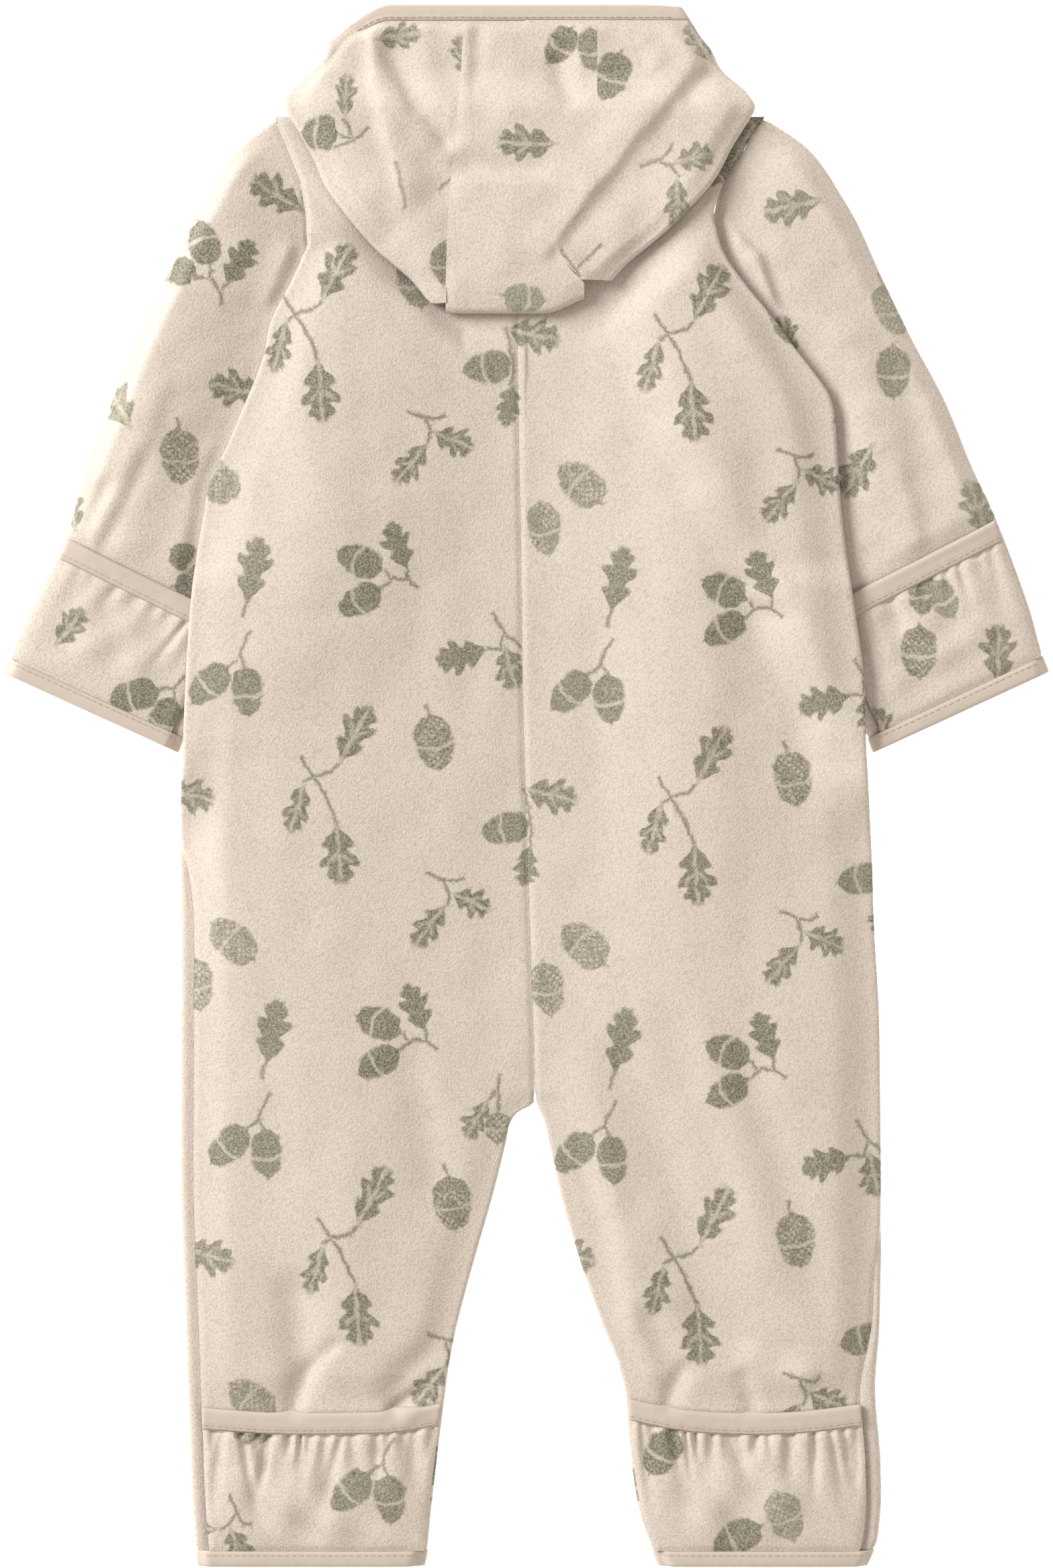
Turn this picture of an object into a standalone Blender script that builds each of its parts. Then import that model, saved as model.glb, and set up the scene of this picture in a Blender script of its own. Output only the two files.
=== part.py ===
"""Fleece pramsuit for a baby, laid flat on its front with the back upwards.

Every piece of cloth is a wall round a surface of two parameters. The body and the
sleeves are tubes pressed flat: two layers joined by a narrow rolled edge. The sleeves
lie on the ground and the body's side edges lie on them, and the hood lies on the back.

Tables are in millimetres: heights are measured up from the leg hems, and places
across from the suit's middle line, positive to the right of someone looking at it.
"""
import bpy
import bmesh
import numpy as np
from math import pi

MM = 0.001
LENGTH = 697.0           # leg hems to the top of the hood
FLEECE = 2.2             # thickness of the fleece
BINDING = 2.9            # thickness of a folded binding
SEAM = 0.3               # gap between pieces that are sewn together
ARMHOLE_SEAM = 0.5       # the same at the armholes, whose two sides curve
LAY = 0.35               # gap under a piece that lies on another
BODY_ROLL = 2.75         # half the thickness of the flattened body, and its edge's radius
SLEEVE_ROLL = 2.6
HOOD_ROLL = 2.8
HEM = 7.0                # width of the bindings at the leg hems, cuffs and hood
FLAP_BINDING = 9.4       # width of the bindings on the flaps' free edges
ZIP_HALF = 4.2           # half the width of the zip between the fronts
CROTCH = 206.0           # height of the crotch
NECK = 647.0             # height of the shoulder and neck seams
CHIN = 664.0             # height of the lowest point of the hood's face edge
STRIP = 59.7             # width of the hood's centre strip at the face edge
STRIP_CELLS = 5
FACE = 690.0             # height of the hood's face edge, less its binding
SLOPE = 28.0             # width of the slope that the body makes down off a sleeve
ENDLESS = 1000.0         # width given to a flat whose far edge is never reached
FLEECE_BEIGE = (0.80, 0.69, 0.57)
BINDING_BEIGE = (0.72, 0.60, 0.50)
ZIP_BEIGE = (0.70, 0.60, 0.50)


def table(names, *rows):
    """Rows of numbers under named columns, as a dictionary of arrays."""
    return dict(zip(names.split(), np.array(rows, float).T))


# Outline of the body: its side edges, and how far the side seam lies in from them on
# top. An inset of 0 puts the seam half way down the rolled edge, out of sight.
LEFT_SIDE = table(
    "height edge inset",
    (0, -147.0, 6), (21, -148.8, 6), (69, -150.9, 6), (117, -152.7, 6), (165, -154.5, 6),
    (240, -154.5, 6), (300, -154.5, 5), (333, -154.8, 0), (356, -153.6, 0),
    (399, -151.8, 0), (430, -149.7, 0), (451, -147.3, 0), (470, -144.0, 0),
    (484, -141.6, 0), (496, -135.6, 0), (514, -127.8, 0), (541, -117.3, 0),
    (554, -114.6, 0), (574, -104.7, 0), (591, -97.5, 0), (604, -94.0, 0))
RIGHT_SIDE = table(
    "height edge inset",
    (0, 153.0, 6), (9, 156.6, 6), (21, 158.4, 6), (45, 158.7, 7), (81, 156.3, 7),
    (105, 158.1, 4), (129, 158.7, 3), (165, 159.3, 0), (213, 159.0, 0), (249, 158.4, 0),
    (285, 156.3, 0), (321, 155.1, 0), (365, 152.1, 0), (394, 151.2, 0), (435, 145.8, 0),
    (471, 141.3, 0), (500, 139.2, 0), (515, 138.0, 0), (523, 135.6, 0), (533, 128.7, 0),
    (543, 120.9, 0), (556, 111.6, 0), (572, 98.4, 0), (585, 89.4, 0), (603, 84.3, 0),
    (616, 82.0, 0))
# Armhole seams, from the underarm up to the top of the shoulder.
LEFT_ARMHOLE = table(
    "height across",
    (555.3, -65.4), (566, -79.0), (578, -91.0), (591, -97.5), (602, -97.8),
    (620, -101.4), (632, -105.9), (646.5, -112.2))
RIGHT_ARMHOLE = table(
    "height across",
    (555.3, 65.4), (566, 72.5), (580, 78.0), (592, 81.5), (605, 84.3), (612, 86.1),
    (618, 88.5), (629, 95.7), (640, 101.7), (646.5, 106.6))
# Centre back seam, and the inner edges of the legs.
CENTRE = table(
    "height across",
    (206, 4.2), (215, 3.9), (249, 3.0), (291, 1.5), (337, 0.0), (383, -1.2), (444, -2.1),
    (559, -3.9), (697, -3.9))
LEFT_INSEAM = table(
    "height across",
    (0, -44.8), (9, -43.2), (21, -42.0), (45, -39.3), (69, -36.3), (93, -33.0),
    (105, -30.6), (117, -27.6), (141, -21.0), (165, -14.1), (189, -8.1), (198, -6.0),
    (202, -3.2), (206, 4.2))
RIGHT_INSEAM = table(
    "height across",
    (0, 58.8), (9, 55.2), (21, 50.7), (33, 48.3), (57, 45.3), (81, 42.9), (93, 39.6),
    (105, 34.5), (117, 30.0), (141, 21.9), (165, 15.0), (189, 9.6), (201, 6.6), (206, 4.2))
# Sleeves, pressed flat: lines across them from the outer edge to the underarm edge, at
# their distance along the sleeve from the cuff.
LEFT_SLEEVE = table(
    "way outer_x outer_y inner_x inner_y",
    (0, -234.0, 399.0, -155.1, 363.0), (7, -230.7, 405.6, -152.6, 369.6),
    (27, -224.0, 422.6, -145.0, 385.0), (66, -205.5, 459.3, -124.2, 419.4),
    (98, -197.1, 489.3, -109.5, 449.7), (132, -184.8, 520.8, -96.3, 481.5),
    (163, -173.4, 549.3, -81.9, 510.3), (188, -161.7, 573.3, -71.4, 531.3),
    (216, -144.6, 609.3, -66.3, 546.3), (234, -128.4, 633.3, -65.0, 552.5),
    (246, -112.2, 646.5, -65.4, 555.3))
RIGHT_SLEEVE = table(
    "way outer_x outer_y inner_x inner_y",
    (0, 234.0, 399.3, 155.1, 363.0), (7, 231.2, 406.5, 152.6, 369.6),
    (27, 225.6, 426.0, 145.6, 386.5), (66, 210.3, 467.4, 130.2, 426.3),
    (98, 199.4, 491.0, 111.5, 450.6), (132, 187.0, 521.0, 97.4, 481.5),
    (163, 171.9, 549.3, 82.5, 510.3), (188, 160.2, 573.3, 71.4, 531.3),
    (216, 142.8, 609.3, 66.3, 546.3), (234, 125.0, 634.0, 65.0, 552.5),
    (246, 106.6, 646.5, 65.4, 555.3))
# Underarm edge of each sleeve where the body hides it, and how high the body lies over
# it: over the sleeve alone higher up, and over its flap as well lower down.
LEFT_HIDDEN = table(
    "height reach lift",
    (322, 155.5, 0), (356, 155.5, 9.2), (372, 151.5, 9.2), (422, 124.5, 9.2),
    (436, 117.5, 9.2), (449, 111.5, 5.7), (482, 97.0, 5.7), (510, 82.3, 5.7),
    (531, 71.8, 5.7), (546, 66.8, 5.7), (553, 65.2, 5.7), (560, 67.0, 5.7),
    (575, 80.0, 5.7), (592, 90.0, 5.7), (626, 94.0, 0))
RIGHT_HIDDEN = table(
    "height reach lift",
    (322, 155.5, 0), (356, 155.5, 9.2), (372, 151.5, 9.2), (422, 131.0, 9.2),
    (436, 122.0, 9.2), (449, 112.5, 5.7), (482, 97.0, 5.7), (510, 82.3, 5.7),
    (531, 71.4, 5.7), (546, 66.3, 5.7), (553, 65.2, 5.7), (560, 66.5, 5.7),
    (575, 73.0, 5.7), (604, 81.0, 5.7), (634, 86.0, 0))
# Hood, in lines across each side panel from its seam with the centre strip to its fold.
LEFT_HOOD = table(
    "height seam edge_x edge_y",
    (563, -35.7, -43.0, 563), (572, -35.6, -49.8, 572), (587, -35.2, -66.9, 587),
    (602, -34.8, -80.0, 602), (614, -33.9, -88.8, 614), (629, -31.9, -95.4, 629),
    (641, -31.0, -102.0, 641), (651, -30.2, -107.7, 651), (657, -29.8, -107.2, 655.5),
    (669, -28.9, -101.0, 663), (677, -28.5, -95.5, 668), (684, -28.1, -91.5, 671.5),
    (690, -27.9, -89.2, 674.5), (698, -27.9, -88.4, 681))
RIGHT_HOOD = table(
    "height seam edge_x edge_y",
    (572, 26.0, 37.2, 572), (581, 17.6, 45.3, 581), (590, 14.2, 56.5, 590),
    (597, 19.0, 64.8, 597), (606, 27.0, 73.8, 606), (615, 30.6, 81.9, 615),
    (635, 31.2, 93.3, 635), (645, 31.5, 99.5, 645), (650, 31.7, 102.3, 650),
    (657, 31.8, 99.0, 657), (669, 31.8, 87.0, 669), (677, 31.8, 83.0, 677),
    (684, 31.8, 77.5, 684), (690, 31.8, 74.0, 690), (698, 31.8, 69.5, 697))
# Broad forms of the back: how high it stands at places across, at rows of heights.
RISE_ACROSS = np.array(
    [-150, -120, -100, -84, -66, -45, -25, -6, 6, 25, 45, 65, 85, 110, 135, 155], float)
BACK_RISE = {
    90: (1.0, 2.6, 2.4, 3.4, 3.6, 2.0, 1.0, 1.0, 1.0, 1.2, 2.2, 2.2, 3.2, 2.8, 3.4, 1.5),
    150: (1.5, 3.6, 5.0, 5.4, 5.0, 3.0, 2.0, 1.0, 1.0, 2.4, 2.2, 3.2, 4.6, 3.6, 3.4, 1.5),
    230: (2.0, 4.0, 4.6, 4.8, 4.2, 3.2, 2.4, 1.8, 1.8, 3.2, 4.4, 5.4, 5.2, 3.8, 3.0, 1.4),
    300: (1.5, 4.2, 5.6, 6.2, 5.2, 4.0, 3.0, 2.2, 2.0, 3.4, 4.8, 5.8, 5.4, 3.6, 2.4, 0.8),
    400: (1.0, 4.0, 6.2, 7.0, 5.6, 4.2, 3.0, 2.0, 1.8, 3.2, 4.4, 5.6, 5.4, 3.6, 1.8, 0.2),
    500: (0.5, 3.2, 5.6, 6.6, 5.0, 3.7, 2.6, 1.8, 1.6, 3.0, 4.3, 5.4, 5.2, 3.4, 2.0, 0.0),
    550: (0.0, 1.5, 3.2, 4.0, 3.2, 2.4, 1.8, 1.3, 1.2, 2.2, 3.2, 3.8, 3.6, 3.0, 1.2, 0.0)}
SLEEVE_RISE = 5.6        # how high a sleeve's top layer stands towards its outer edge
# Folds of the hood: soft ridges (height over 0) and troughs along a line. A lopsided one
# falls away at once on its right-hand side, as a fold's edge does.
HOOD_FOLDS = table(
    "x0 y0 x1 y1 width height lopsided",
    (-73, 690, -57, 620, 9, 1.5, 0), (-64, 680, -40, 640, 6, -0.8, 0),
    (79, 674, 12, 590, 9, 2.2, 1), (12, 590, 1, 578, 8, 1.4, 1),
    (-30, 621, 8, 620, 7, -0.7, 0), (28, 684, 36, 655, 6, 0.7, 0),
    (-70, 628, -52, 592, 9, 0.9, 0), (52, 684, 60, 668, 7, 0.8, 0))
# Upper ends of the foot flaps across the leg, from its side seam to its inseam.
LEFT_FLAP = table("part height", (0, 70.8), (0.3, 68.7), (0.6, 68.7), (0.8, 69.3), (1, 72.6))
RIGHT_FLAP = table("part height", (0, 72.3), (0.3, 69.0), (0.6, 68.7), (0.8, 70.5), (1, 74.8))

SIDES = {
    "left": dict(sign=1, side=LEFT_SIDE, armhole=LEFT_ARMHOLE, split=(585, 596),
                 inseam=LEFT_INSEAM, sleeve=LEFT_SLEEVE, hidden=LEFT_HIDDEN, hood=LEFT_HOOD,
                 flap=LEFT_FLAP),
    "right": dict(sign=-1, side=RIGHT_SIDE, armhole=RIGHT_ARMHOLE, split=(597, 608),
                  inseam=RIGHT_INSEAM, sleeve=RIGHT_SLEEVE, hidden=RIGHT_HIDDEN, hood=RIGHT_HOOD,
                  flap=RIGHT_FLAP),
}


def along(at, stations, values):
    """Smooth curve through a table's rows: a cubic from row to row, whose slope at a
    row is that of the line between the rows on each side of it."""
    slope = np.gradient(values, stations)
    at = np.clip(at, stations[0], stations[-1])
    row = np.clip(np.searchsorted(stations, at, side="right") - 1, 0, len(stations) - 2)
    span = stations[row + 1] - stations[row]
    t = (at - stations[row]) / span
    return (values[row] * (1 + 2 * t) * (1 - t) ** 2 + slope[row] * span * t * (1 - t) ** 2
            + values[row + 1] * t * t * (3 - 2 * t) + slope[row + 1] * span * t * t * (t - 1))


def ease(t):
    """Smooth step: 0 below 0, 1 above 1, and t squared times (3 - 2t) between."""
    t = np.clip(t, 0, 1)
    return t * t * (3 - 2 * t)


def plateaus(at, stations, values):
    """A table's values, level at each row, with a smooth step from row to row."""
    row = np.clip(np.searchsorted(stations, at, side="right") - 1, 0, len(stations) - 2)
    t = ease((at - stations[row]) / (stations[row + 1] - stations[row]))
    return values[row] + t * (values[row + 1] - values[row])


def stretches(*parts):
    """Even steps over each stretch of a line, given as (from, to, steps)."""
    pieces = [np.linspace(start, stop, steps, endpoint=False) for start, stop, steps in parts]
    return np.append(np.concatenate(pieces), parts[-1][1])


def folds(rows, x, y):
    """Sum of the folds at a point. A fold is a bell curve across its line, and fades
    out towards the line's two ends."""
    total = np.zeros(np.broadcast(x, y).shape)
    for x0, y0, x1, y1, width, height, lopsided in zip(*rows.values()):
        run = np.hypot(x1 - x0, y1 - y0)
        ax, ay = (x1 - x0) / run, (y1 - y0) / run
        way = ((x - x0) * ax + (y - y0) * ay) / run
        off = (x - x0) * ay - (y - y0) * ax
        spread = np.where((off < 0) & (lopsided > 0), width * 0.35, width)
        ends = ease(way / 0.25 + 0.3) * ease((1 - way) / 0.25 + 0.3)
        total += height * np.exp(-(off / spread) ** 2) * ends
    return total


def over_map(rise, x, y):
    """Height on a map drawn by hand: a smooth curve across along each of its rows, and
    a cubic up from row to row, whose slope at a row is that between the rows round it."""
    heights = np.array(sorted(rise), float)
    lines = np.array([along(x, RISE_ACROSS, np.array(rise[h], float)) for h in heights])
    slopes = np.gradient(lines, heights, axis=0)
    y = np.clip(y, heights[0], heights[-1])
    row = np.clip(np.searchsorted(heights, y, side="right") - 1, 0, len(heights) - 2)
    span = heights[row + 1] - heights[row]
    t = (y - heights[row]) / span
    low, high, slope, next_slope = (
        np.take_along_axis(values, k[None], 0)[0]
        for values, k in ((lines, row), (lines, row + 1), (slopes, row), (slopes, row + 1)))
    return (low * (1 + 2 * t) * (1 - t) ** 2 + slope * span * t * (1 - t) ** 2
            + high * t * t * (3 - 2 * t) + next_slope * span * t * t * (t - 1))


def section(c, roll, flat):
    """Walk round two layers pressed flat. c is the distance walked from the middle of
    the near edge, over the top where it is positive and underneath where it is negative:
    a quarter turn of the edge, the flat, and a quarter turn at the far edge. Returns the
    way across, from where the flat starts, and the level, 1 on top and -1 underneath."""
    s = np.abs(c) - roll * pi / 2
    near = np.clip(-s / roll, 0, pi / 2)
    far = np.clip((s - flat) / roll, 0, pi / 2)
    across = np.clip(s, 0, flat) - roll * np.sin(near) + roll * np.sin(far)
    return across, np.sign(c) * np.cos(near) * np.cos(far)


# --- the body ---

def body_edge(side, y):
    """Place across of the body's outer edge: the armhole seam above, the side below."""
    part = SIDES[side]
    armhole = along(y, *part["armhole"].values()) + part["sign"] * ARMHOLE_SEAM / 2
    edge = along(y, part["side"]["height"], part["side"]["edge"])
    return edge + (armhole - edge) * ease((y - part["split"][0]) / 12)


def body_inner(side, y):
    """Place across of the body's inner edge: the leg's inseam, then the centre seam."""
    part = SIDES[side]
    inseam = along(y, *part["inseam"].values())
    return np.where(y < CROTCH, inseam, along(y, *CENTRE.values())) - part["sign"] * SEAM / 2


def body_turns(side, y):
    """Angles that the outer and the inner edge turn through. They fall to nothing where
    the two layers part, at the armhole and above the crotch."""
    low, high = SIDES[side]["split"]
    return (pi / 2 * (1 - ease((y - low) / (high - low))),
            pi / 2 * (1 - ease((y - CROTCH) / 16)))


def body_flat(side, y):
    """Width of the flat of the body between its two turned edges."""
    outer, inner = body_turns(side, y)
    width = np.abs(body_inner(side, y) - body_edge(side, y))
    return width - BODY_ROLL * (np.sin(outer) + np.sin(inner))


def sleeve_reach(side, y):
    """Distance across from the middle line to where the slope down off a sleeve starts,
    a little in from the sleeve's hidden edge."""
    hidden = SIDES[side]["hidden"]
    return plateaus(y, hidden["height"], hidden["reach"]) - 4


def lift(x, y):
    """How high the body lies over what is under it: a sleeve out at its side edges, and
    from there a slope down to the ground."""
    height = 0
    for side, part in SIDES.items():
        high = plateaus(y, part["hidden"]["height"], part["hidden"]["lift"])
        in_from = sleeve_reach(side, y) + part["sign"] * x
        height = height + np.where(part["sign"] * x < 0, high * (1 - ease(in_from / SLOPE)), 0)
    return height


def under_hood(x, y):
    """1 clear of the hood, falling to 0 where the hood lies on the back."""
    outline = 556 + 0.85 * np.maximum(np.abs(x) - 28, 0)
    return ease((outline - y) / 20)


def body_rise(side, x, y, s, flat):
    """Height that the back stands over its flat, fading out at rolled edges, under the
    hood and under the foot flaps."""
    outer, inner = body_turns(side, y)
    near = 1 - (1 - ease(s / 10)) * outer / (pi / 2)
    far = 1 - (1 - ease((flat - s) / 10)) * inner / (pi / 2)
    x, y = np.broadcast_arrays(x, y)
    return over_map(BACK_RISE, x, y) * near * far * under_hood(x, y) * ease((y - 78) / 18)


def body(side, c, y):
    """The body's outer surface, at c round its section and y up it."""
    sign = SIDES[side]["sign"]
    outer = body_turns(side, y)[0]
    flat = body_flat(side, y)
    across, level = section(c, BODY_ROLL, flat)
    x = body_edge(side, y) + sign * (BODY_ROLL * np.sin(outer) + across)
    z = lift(x, y) + BODY_ROLL * (1 + level)
    z = z + np.where(c > 0, body_rise(side, x, y, np.abs(c) - BODY_ROLL * pi / 2, flat), 0)
    return x, y + 0 * x, z


def side_seam(side, y):
    """Where the side seam lies round the section."""
    rows = SIDES[side]["side"]
    inset = along(y, rows["height"], rows["inset"])
    return np.where(inset > 0.5, ease(inset / 3) * (BODY_ROLL * pi / 2 - BODY_ROLL + inset), 0)


def zip_room(y):
    """Half the width left for the zip between the fronts, closed below its lower end."""
    return ZIP_HALF * ease((y - 222) / 16)


def body_ends(side, y, top):
    """Start and end of the back (top) or the front round the section, less the seams."""
    outer, inner = body_turns(side, y)
    quarter = BODY_ROLL * pi / 2
    parted = quarter - BODY_ROLL * outer
    seam = side_seam(side, y)
    start = np.where(top, np.maximum(seam, parted) + SEAM / 2, seam - parted - SEAM / 2)
    end = quarter + body_flat(side, y) + BODY_ROLL * inner - SEAM / 2 * inner / (pi / 2)
    if not top:
        end = -(end - (zip_room(y) + SEAM / 2) * (1 - inner / (pi / 2)))
    return start, end


def columns_between(knots, cells):
    """Columns of a grid: each row's knots, with an even number of cells to each gap."""
    parts = [low[:, None] + (high - low)[:, None] * np.linspace(0, 1, count, endpoint=False)
             for low, high, count in zip(knots, knots[1:], cells)]
    return np.concatenate(parts + [knots[-1][:, None]], axis=1)


# --- the sleeves ---

def sleeve_width(side, way):
    rows = SIDES[side]["sleeve"]
    ox, oy, ix, iy = (along(way, rows["way"], rows[name])
                      for name in ("outer_x", "outer_y", "inner_x", "inner_y"))
    return np.hypot(ix - ox, iy - oy), ox, oy, ix, iy


def sleeve(side, c, way):
    """The sleeve's outer surface, at c round its section and a distance up from the
    cuff. Towards its upper end each line across bends to the shape of the armhole."""
    width, ox, oy, ix, iy = sleeve_width(side, way)
    across, level = section(c, SLEEVE_ROLL, width - 2 * SLEEVE_ROLL)
    part = (SLEEVE_ROLL + across) / width
    x, y = ox + (ix - ox) * part, oy + (iy - oy) * part
    armhole = SIDES[side]["armhole"]
    top, underarm = armhole["height"][-1], armhole["height"][0]
    height = top + (underarm - top) * part
    chord = armhole["across"][-1] + (armhole["across"][0] - armhole["across"][-1]) * part
    bend = ease((way - 160) / 86)
    shaped = along(height, *armhole.values()) - SIDES[side]["sign"] * ARMHOLE_SEAM / 2
    x = x + bend * (shaped - chord)
    return x, y, SLEEVE_ROLL * (1 + level) + np.where(c > 0, sleeve_rise(side, c, way, x, y), 0)


def sleeve_rise(side, c, way, x, y):
    """Height that a sleeve's top layer stands over its flat: it rises from the body,
    which presses it down, to its outer edge, and lies flat under the mitt flap."""
    s = np.abs(c) - SLEEVE_ROLL * pi / 2
    flat = sleeve_width(side, way)[0] - 2 * SLEEVE_ROLL
    clear = np.abs(x) - np.abs(body_edge(side, y))
    edges = ease(s / 10) * ease((flat - s) / 12) * ease((246 - way) / 22) * ease((way - 68) / 18)
    return SLEEVE_RISE * ease((clear - 3) / 44) * edges


# --- the hood ---

def hood_base(y):
    """Height of the hood's top layer over the ground, less its own thickness: it lies on
    the back, and beyond the shoulders it sinks to the ground."""
    return (2 * BODY_ROLL + 2 * LAY) * (1 - ease((y - 648) / 20))


def hood_floor(x):
    """Height of the hood's face edge where it runs round underneath, at the chin."""
    return CHIN + 18 * (np.abs(x) / 80) ** 2


def hood_over(side, row):
    """Distance round a side panel from its fold to its seam, on the top layer."""
    part = SIDES[side]["hood"]
    seam, edge = (along(row, part["height"], part[name]) for name in ("seam", "edge_x"))
    return HOOD_ROLL * (pi / 2 - 1) + np.abs(seam - edge)


def hood_side(side, c, row):
    """Outer surface of a side panel of the hood: its top layer, the fold at its side and
    its under layer, which lies on the back or, above the neck, on the ground. A line
    across it starts level from its seam and curves down to its own place on the fold."""
    part = SIDES[side]["hood"]
    sign = SIDES[side]["sign"]
    seam, edge, edge_y = (along(row, part["height"], part[name])
                          for name in ("seam", "edge_x", "edge_y"))
    across, level = section(c, HOOD_ROLL, ENDLESS)
    s = np.abs(c) - HOOD_ROLL * pi / 2
    x = edge + sign * (HOOD_ROLL + across)
    flat_x = edge + sign * (HOOD_ROLL + np.clip(s, 0, None))
    bent = np.clip(((seam - flat_x) / (seam - edge) - 0.55) / 0.42, 0, 1) ** 1.5
    y = row + (edge_y - row) * bent
    floor = (c < 0) & (row > NECK + 1.5)
    inward = ease(s / 15)
    chin = hood_floor(x) - NECK - 3.5
    low = NECK + 3.5 + (row - NECK - 3.5) / (FACE - NECK - 3.5) * chin
    z = hood_base(y) * np.where(floor, 1 - inward, 1) + lift(x, y) * (row < NECK + 3)
    z = z + HOOD_ROLL * (1 + level)
    bumps = (0.5 + folds(HOOD_FOLDS, x, y)) * ease(s / 8) * ease((FACE + 4 - row) / 8)
    return x, np.where(floor, y + (low - y) * inward, y), z + np.where(c > 0, bumps, 0)


def hood_bottom(x):
    """Outline of the hood's bottom fold across the centre strip."""
    return 558.7 + 7.0 * ease((x - 8) / 22)


def strip_across(y, part):
    """Place across the centre strip, from its left seam (0) to its right one (1)."""
    left = along(y, LEFT_HOOD["height"], LEFT_HOOD["seam"]) + SEAM
    right = along(y, RIGHT_HOOD["height"], RIGHT_HOOD["seam"]) - SEAM
    return left + (right - left) * part


def hood_centre(part, way):
    """Outer surface of the hood's centre strip. part runs from the left seam to the
    right; way is the distance from the middle of the bottom fold, up the top layer where
    it is positive and up the under layer where it is negative."""
    across, level = section(way, HOOD_ROLL, ENDLESS)
    y = HOOD_ROLL + across + 560
    for _ in range(4):
        x = strip_across(y, part)
        y = hood_bottom(x) + HOOD_ROLL + across
    z = hood_base(y) + HOOD_ROLL * (1 + level)
    bumps = (0.5 + folds(HOOD_FOLDS, x, y)) * ease((HOOD_ROLL + across) / 10)
    return x, y, z + np.where(way > 0, bumps * ease((FACE + 4 - y) / 8), 0)


def face_edge(a, row):
    """The hood's surface near its face edge, all in one. a is the distance along the edge
    from the left seam: back round the left panel where it is negative, over the centre
    strip, and round the right panel beyond it."""
    left = hood_side("left", hood_over("left", row) + np.minimum(a, 0), row)
    right = hood_side("right", hood_over("right", row) - np.maximum(a - STRIP, 0), row)
    x = strip_across(row, np.clip(a / STRIP, 0, 1))
    z = hood_base(row) + 2 * HOOD_ROLL
    z = z + (0.5 + folds(HOOD_FOLDS, x, row)) * ease((FACE + 4 - row) / 8)
    middle = (x, row + 0 * x, z)
    return tuple(np.where(a < 0, l, np.where(a > STRIP, r, m))
                 for l, r, m in zip(left, right, middle))


# --- making solids ---

def normals(point, a, b, sign):
    """Unit normals of a surface, from the cross product of its two slopes."""
    step = 0.02
    da = np.stack(point(a + step, b), -1) - np.stack(point(a - step, b), -1)
    db = np.stack(point(a, b + step), -1) - np.stack(point(a, b - step), -1)
    normal = sign * np.cross(da, db)
    return normal / np.linalg.norm(normal, axis=-1, keepdims=True)


def wall_faces(rows, columns, closed, keep):
    """Quads of a wall: the outer grid, the inner grid behind it, and a rim wherever a
    kept cell has no kept neighbour. closed joins the last column to the first."""
    width = columns if closed else columns - 1
    row, column = np.nonzero(keep[:, :width])
    beyond = (column + 1) % columns
    low, high = row * columns, (row + 1) * columns
    corner = np.stack([low + column, low + beyond, high + beyond, high + column], -1)
    inner = rows * columns
    faces = [corner, corner[:, ::-1] + inner]
    padded = np.zeros((rows + 1, width + 2), bool)
    padded[1:-1, 1:-1] = keep[:, :width]
    if closed:
        padded[:, 0], padded[:, -1] = padded[:, -2], padded[:, 1]
    steps = (((-1, 0), (0, 1)), ((0, 1), (1, 2)), ((1, 0), (2, 3)), ((0, -1), (3, 0)))
    for (up, over), (first, second) in steps:
        edge = ~padded[row + 1 + up, column + 1 + over]
        p, q = corner[edge, first], corner[edge, second]
        faces.append(np.stack([q, p, p + inner, q + inner], -1))
    return np.concatenate(faces)


def add_solid(name, points, faces, colour):
    """A mesh object of millimetre points and quads, facing outwards."""
    mesh = bpy.data.meshes.new(name)
    centred = (points - np.array([0, LENGTH / 2, 0])) * MM
    mesh.from_pydata(centred.tolist(), [], faces.tolist())
    cloth = bmesh.new()
    cloth.from_mesh(mesh)
    bmesh.ops.delete(cloth, geom=[v for v in cloth.verts if not v.link_faces], context="VERTS")
    bmesh.ops.recalc_face_normals(cloth, faces=cloth.faces)
    cloth.to_mesh(mesh)
    cloth.free()
    mesh.materials.append(material(name, colour))
    obj = bpy.data.objects.new(name, mesh)
    suit.objects.link(obj)
    return obj


def wall(name, point, a, b, sign, outside=0.0, inside=-FLEECE, keep=None, closed=False,
         colour=FLEECE_BEIGE):
    """A wall between two copies of a surface, moved along its normals by outside and
    inside. a and b are its parameters on a grid of rows and columns."""
    base = np.stack(point(a, b), -1)
    normal = normals(point, a, b, sign)
    outer = base + normal * np.broadcast_to(outside, a.shape)[..., None]
    inner = base + normal * np.broadcast_to(inside, a.shape)[..., None]
    rows, columns = a.shape
    keep = np.ones((rows - 1, columns), bool) if keep is None else keep
    faces = wall_faces(rows, columns, closed, keep)
    return add_solid(name, np.concatenate([outer.reshape(-1, 3), inner.reshape(-1, 3)]), faces,
                     colour)


def material(name, colour):
    """Plain matt cloth in the piece's colour."""
    made = bpy.data.materials.new(name)
    made.use_nodes = True
    shader = made.node_tree.nodes["Principled BSDF"]
    shader.inputs["Base Color"].default_value = (*colour, 1)
    shader.inputs["Roughness"].default_value = 0.9
    shader.inputs["Metallic"].default_value = 0.0
    return made


BODY_ROWS = stretches((HEM, 70, 2), (70, 190, 4), (190, 206, 3), (206, 222, 2),
                      (222, 322, 3), (322, 450, 6), (450, 585, 7), (585, 609, 2),
                      (609, NECK, 4))
HOOD_ROWS = np.array([563, 572, 581, 590, 597, 606, 615, 628, 640, NECK + 1, NECK + 3.5,
                      660, 670, 680, FACE])


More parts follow.
